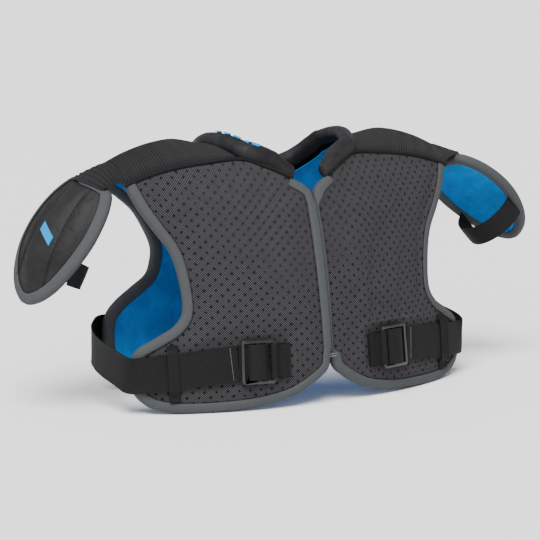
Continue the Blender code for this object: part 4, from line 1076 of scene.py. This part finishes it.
def slider(name, side):
    """Sewn tab, three-bar slider and the strap folded round its middle bar."""
    place, out, upright = slider_plane(side)
    half_span = 0.5 * (SLIDER_OUTER_X - SLIDER_INNER_X)
    half = 0.5 * STRAP_WIDTH

    slider_node = frame["nodes"][name + "_slider"]
    mesh = slider_node.data.copy()
    work = bmesh.new()
    work.from_mesh(mesh)
    bmesh.ops.remove_doubles(work, verts=work.verts, dist=1e-6)
    bmesh.ops.dissolve_limit(work, angle_limit=math.radians(3), verts=work.verts, edges=work.edges)
    work.to_mesh(mesh)
    work.free()
    mesh.materials.clear()
    mesh.materials.append(PLASTIC.material)
    ring = bpy.data.objects.new(name + "_strap_slider", mesh)
    bpy.context.collection.objects.link(ring)
    bevel = ring.modifiers.new("rounded", "BEVEL")
    bevel.width, bevel.segments, bevel.limit_method = 0.0009, 4, "ANGLE"
    bevel.angle_limit = math.radians(30)
    mesh.polygons.foreach_set("use_smooth", np.ones(len(mesh.polygons), dtype=bool))
    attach(ring, name + "_slider")
    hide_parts(name + "_slider")

    top = SLIDER_LIFT + 0.0016 + 0.0003 + 0.0014
    line = curve([
        (half_span + 0.0042, 0.0037), (half_span - 0.0040, 0.0036), (0.0108, 0.0066), (0.0072, top + 0.0012),
        (0.0, top + 0.0022), (-0.0066, top + 0.0006), (-0.0100, 0.0052), (-0.0066, 0.0012), (0.0020, 0.0010),
        (half_span + 0.0042, 0.0012),
    ], 70)
    left = leftwards(line)
    outline = np.vstack([line + left * 0.0007, (line - left * 0.0007)[::-1]])
    fold = extruded(name + "_strap_fold_end", place, outline, half, WEBBING)
    ends = [tuple((place(u, 0.003, 0.0) + SHIFT).tolist()) for u in (half_span + 0.004, 0.0)]
    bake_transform(fold)
    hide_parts(name + "_strap_fold")

    turn = np.radians(np.linspace(-80, 190, 22))
    sleeve = np.stack([-half_span + 0.0042 * np.cos(turn), SLIDER_LIFT + 0.0042 * np.sin(turn)], axis=1)
    hole_turn = np.radians(np.linspace(190, -80, 22))
    hollow = np.stack([-half_span + 0.0028 * np.cos(hole_turn), SLIDER_LIFT + 0.0028 * np.sin(hole_turn)], axis=1)
    start = np.array([(-half_span - 0.019, 0.0008), (-half_span - 0.010, 0.0008), (-half_span - 0.003, 0.0006)])
    finish = np.array([(-half_span - 0.0064, 0.0036), (-half_span - 0.010, 0.0036), (-half_span - 0.019, 0.0034)])
    middle = np.array([(-half_span - 0.0060, 0.0026), (-half_span - 0.0052, 0.0024)])
    outline = np.vstack([start, sleeve, finish])
    tab = extruded(name + "_slider_webbing", place, outline, half - 0.0004, WEBBING)
    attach(tab, "chest")
    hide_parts(name + "_slider_tab")
    for row, u in enumerate((-half_span - 0.0165, -half_span - 0.0125, -half_span - 0.0085)):
        v = np.linspace(-half + 0.0025, half - 0.0025, 20)
        path = place(np.full(20, u), np.full(20, 0.0036), v)
        sewn = stitches(f"{name}_slider_stitches_{row}", path, np.tile(out, (20, 1)), DARK_THREAD, 0.0026, 0.0019)
        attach(sewn, "chest")
    return hollow, middle


# ---------------------------------------------------------------- arm caps
CAP_OUTLINE = (
    (0.0, 0.30), (0.020, 0.58), (0.095, 0.76), (0.23, 0.92), (0.42, 1.0), (0.62, 0.93), (0.80, 0.74),
    (0.92, 0.48), (0.985, 0.20),
)


def cap_edges():
    """Cap's outline: its whole run, and the four parts of it that bound its cloth."""
    rear = [(s * CAP_LENGTH, -0.5 * t * CAP_WIDTH) for s, t in CAP_OUTLINE]
    front = [(s, -t) for s, t in rear]
    run = curve(rear + [(CAP_LENGTH, 0.0)] + front[::-1], 360, closed=True)
    near = front[1::-1] + rear[:2]
    far = front[6:] + [(CAP_LENGTH, 0.0)] + rear[:5:-1]
    return run, near, rear[1:7], far, front[1:7]


def cap(name, side):
    """Arm cap: creased nylon outside, two lined pads inside, bound all round, with a plain mark."""
    place = cap_surface(side)
    _, _, front, out = cap_frame(side)
    run, near, rear, far, fore = cap_edges()
    flat = patch(near[::-1], fore, far[::-1], rear, 90, 120, 0.012)
    gap = edge_distance(flat, run)
    s, t = flat[..., 0], flat[..., 1]
    ends = smooth(s / 0.02) * smooth((CAP_LENGTH - s) / 0.03)
    creases = 0.0
    for base, drift in ((-0.020, -0.03), (0.012, 0.10)):
        away = t - base - drift * (s - 0.05)
        creases = creases + np.exp(-(away / 0.0016) ** 2) * ends
    uneven = ripples(flat, 21 if side < 0 else 22, 0.05) * smooth((gap - 0.012) / 0.02)
    lift = crown(gap, 0.0032, 0.022) - 0.0016 * creases + 0.0003 * uneven
    top = raised(place, flat, lift, out)
    pinned = (gap < 0.0125) | (creases > 0.5)
    top = swell(top, pinned, 9.0, 0.0022, 0.01)
    normal = normals_of(place, s, t, out)
    cover = shell(name + "_cap_nylon", top, top - normal * 0.0010, flat, NYLON)
    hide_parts(name + "_cap_cover", name + "_cap_foam")

    seam = np.exp(-(t / 0.0018) ** 2) * smooth(s / 0.012) * smooth((CAP_LENGTH - s) / 0.012)
    ridge = np.exp(-((gap - 0.0165) / 0.0028) ** 2) * smooth((t + 0.004) / 0.01)
    puff = crown(gap, 0.0026, 0.016) - 0.0022 * seam + 0.0008 * ridge
    low = raised(place, flat, -CAP_PANEL - puff, out)
    held = (gap < 0.0125) | (seam > 0.5)
    low = swell(low[:, ::-1], held[:, ::-1], 9.0, 0.0009, 0.012)[:, ::-1]
    lining = shell(name + "_cap_pads", low, low + normal * 0.0010, flat, LINING)
    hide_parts(name + "_cap_lining")

    wide = 0.0042 + 0.0068 * smooth((run[:, 1] + 0.034) / 0.030)
    wide = np.maximum(wide, 0.0042 + 0.0063 * smooth((run[:, 0] - 0.085) / 0.050))
    tape, sewn = binding(name + "_cap_tape", run, place, out, CAP_PANEL, wide, 0.0095, closed=True)
    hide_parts(name + "_cap_binding")

    bar = patch([(0.064, -0.0105), (0.074, -0.0105)], [(0.074, -0.0105), (0.086, 0.0105)],
                [(0.076, 0.0105), (0.086, 0.0105)], [(0.064, -0.0105), (0.076, 0.0105)], 16, 30, 0.0)
    mark = shell(name + "_cap_bar", raised(place, bar, 0.0050, out), raised(place, bar, 0.0036, out), bar, PRINT)
    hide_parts(name + "_cap_mark")
    pieces = [cover, lining, tape, sewn, mark]
    for row, (base, drift) in enumerate(((-0.020, -0.03), (0.012, 0.10))):
        line_s = np.linspace(0.016, 0.126, 60)
        line = np.stack([line_s, base + drift * (line_s - 0.05)], axis=1)
        path = raised(place, line, 0.0018, out)
        normal_line = normals_of(place, line[:, 0], line[:, 1], out)
        sewn = stitches(f"{name}_cap_stitches_{row}", path, normal_line, DARK_THREAD, 0.0040, 0.0026, 0.0003)
        pieces.append(sewn)
    for piece in pieces:
        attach(piece, name + "_cap")


def arm_loop(name, side):
    """Elastic band that hangs in half an oval between the cap's two edges."""
    place = cap_surface(side)
    _, _, front, _ = cap_frame(side)
    s = LOOP_PLACE * CAP_LENGTH
    near = place(np.array([s - 0.01, s + 0.01]), np.zeros(2))
    length = unit(near[1] - near[0])
    inward = np.cross(length, front)
    inward = inward * (1.0 if inward[0] * side < 0 else -1.0)
    t = 0.5 * CAP_WIDTH - 0.013
    pair = place(np.array([s, s]), np.array([t, -t]))
    ends = pair.mean(axis=0) + inward * (CAP_PANEL + 0.0045)
    turn = np.linspace(-0.06, math.pi + 0.06, 60)
    points = ends + front * (t * np.cos(turn))[:, None] + inward * (LOOP_DROP * np.sin(turn))[:, None]
    ways = np.tile(length, (60, 1))
    band, _, _, _ = flat_band(name + "_arm_band", points, ways, LOOP_WIDTH, LOOP_THICKNESS, WEBBING, 150, 0.0003, 5)
    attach(band, name + "_loop")
    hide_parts(name + "_arm_loop")


def seam_tack():
    """Small bar of crossed stitches where the chest halves part."""
    place = chest_surface(1)
    rows = []
    for number, z in enumerate((0.0522, 0.0534, 0.0546)):
        x = np.linspace(-0.005, 0.005, 8)
        centre = place(np.zeros(8), np.full(8, z))
        path = centre + np.stack([x, np.full(8, -0.0026), 0.0004 * np.sin(9 * x / 0.005)], axis=1)
        rows.append(stitches(f"seam_tack_{number}", path, np.tile((0.0, -1.0, 0.0), (8, 1)),
                             (PALE_THREAD, DARK_THREAD)[number % 2], 0.0016, 0.0015, 0.00035))
        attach(rows[-1], "chest")
    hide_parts("seam_tack")


# ---------------------------------------------------------------- dressing the vest
back_panel()
for side_name, side_sign in SIDES:
    chest_half(side_name, side_sign)
    yoke(side_name, side_sign)
    link(side_name, side_sign)
    side_strap(side_name, side_sign)
    keeper(side_name, side_sign)
    slider(side_name, side_sign)
    cap(side_name, side_sign)
    arm_loop(side_name, side_sign)
neck_path, neck_rise, neck_thick, neck_reach, neck_middle = collar()
dashes(neck_middle, neck_rise, neck_thick, neck_reach)
seam_tack()


# ---------------------------------------------------------------- studio
def studio():
    """Pale floor, soft lights and the camera."""
    floor_finish = Finish("pale_floor", (0.95, 0.95, 0.95), 0.9)
    paper = floor_finish.noise(3.0)
    floor_finish.colour(floor_finish.mix(paper, (0.945, 0.945, 0.945), (0.96, 0.96, 0.96)))
    floor_mesh = bpy.data.meshes.new("floor")
    low = CAD_BOX[0][2] - 0.0005
    corners = [(-60, -60, low), (60, -60, low), (60, 60, low), (-60, 60, low)]
    floor_mesh.from_pydata(corners, [], [(0, 1, 2, 3)])
    floor_mesh.materials.append(floor_finish.material)
    floor = bpy.data.objects.new("floor", floor_mesh)
    bpy.context.collection.objects.link(floor)

    world = bpy.data.worlds.new("studio")
    world.use_nodes = True
    world.node_tree.nodes["Background"].inputs["Color"].default_value = (1.0, 1.0, 1.0, 1.0)
    world.node_tree.nodes["Background"].inputs["Strength"].default_value = 0.55
    bpy.context.scene.world = world

    def softbox(name, place, aim, size, power):
        light = bpy.data.lights.new(name, "AREA")
        light.shape, light.size, light.energy = "SQUARE", size, power
        lamp = bpy.data.objects.new(name, light)
        lamp.location = place
        way = np.subtract(aim, place)
        flat = math.hypot(way[0], way[1])
        lamp.rotation_euler = (math.atan2(flat, -way[2]), 0.0, math.atan2(-way[0], way[1]))
        bpy.context.collection.objects.link(lamp)

    sun = bpy.data.lights.new("high_softbox", "SUN")
    sun.energy, sun.angle = 5.6, math.radians(38)
    lamp = bpy.data.objects.new("high_softbox", sun)
    lamp.rotation_euler = (math.radians(30), 0.0, math.radians(-42))
    bpy.context.collection.objects.link(lamp)
    softbox("front_left", (-1.9, -1.5, 1.1), (0.0, 0.0, 0.15), 1.0, 9.0)

    camera_data = bpy.data.cameras.new("camera")
    camera_data.lens, camera_data.sensor_width = 130.4, 36.0
    camera = bpy.data.objects.new("camera", camera_data)
    aim = SHIFT * (1, 1, 0) + (-0.00345, 0.00203, 0.128)
    azimuth, elevation, distance = math.radians(-30.5), math.radians(9.3), 2.2
    back = np.array((
        math.sin(azimuth) * math.cos(elevation), -math.cos(azimuth) * math.cos(elevation), math.sin(elevation),
    ))
    camera.location = (aim + back * distance).tolist()
    camera.rotation_euler = (math.pi / 2 - elevation, 0.0, azimuth)
    bpy.context.collection.objects.link(camera)
    bpy.context.scene.camera = camera


studio()
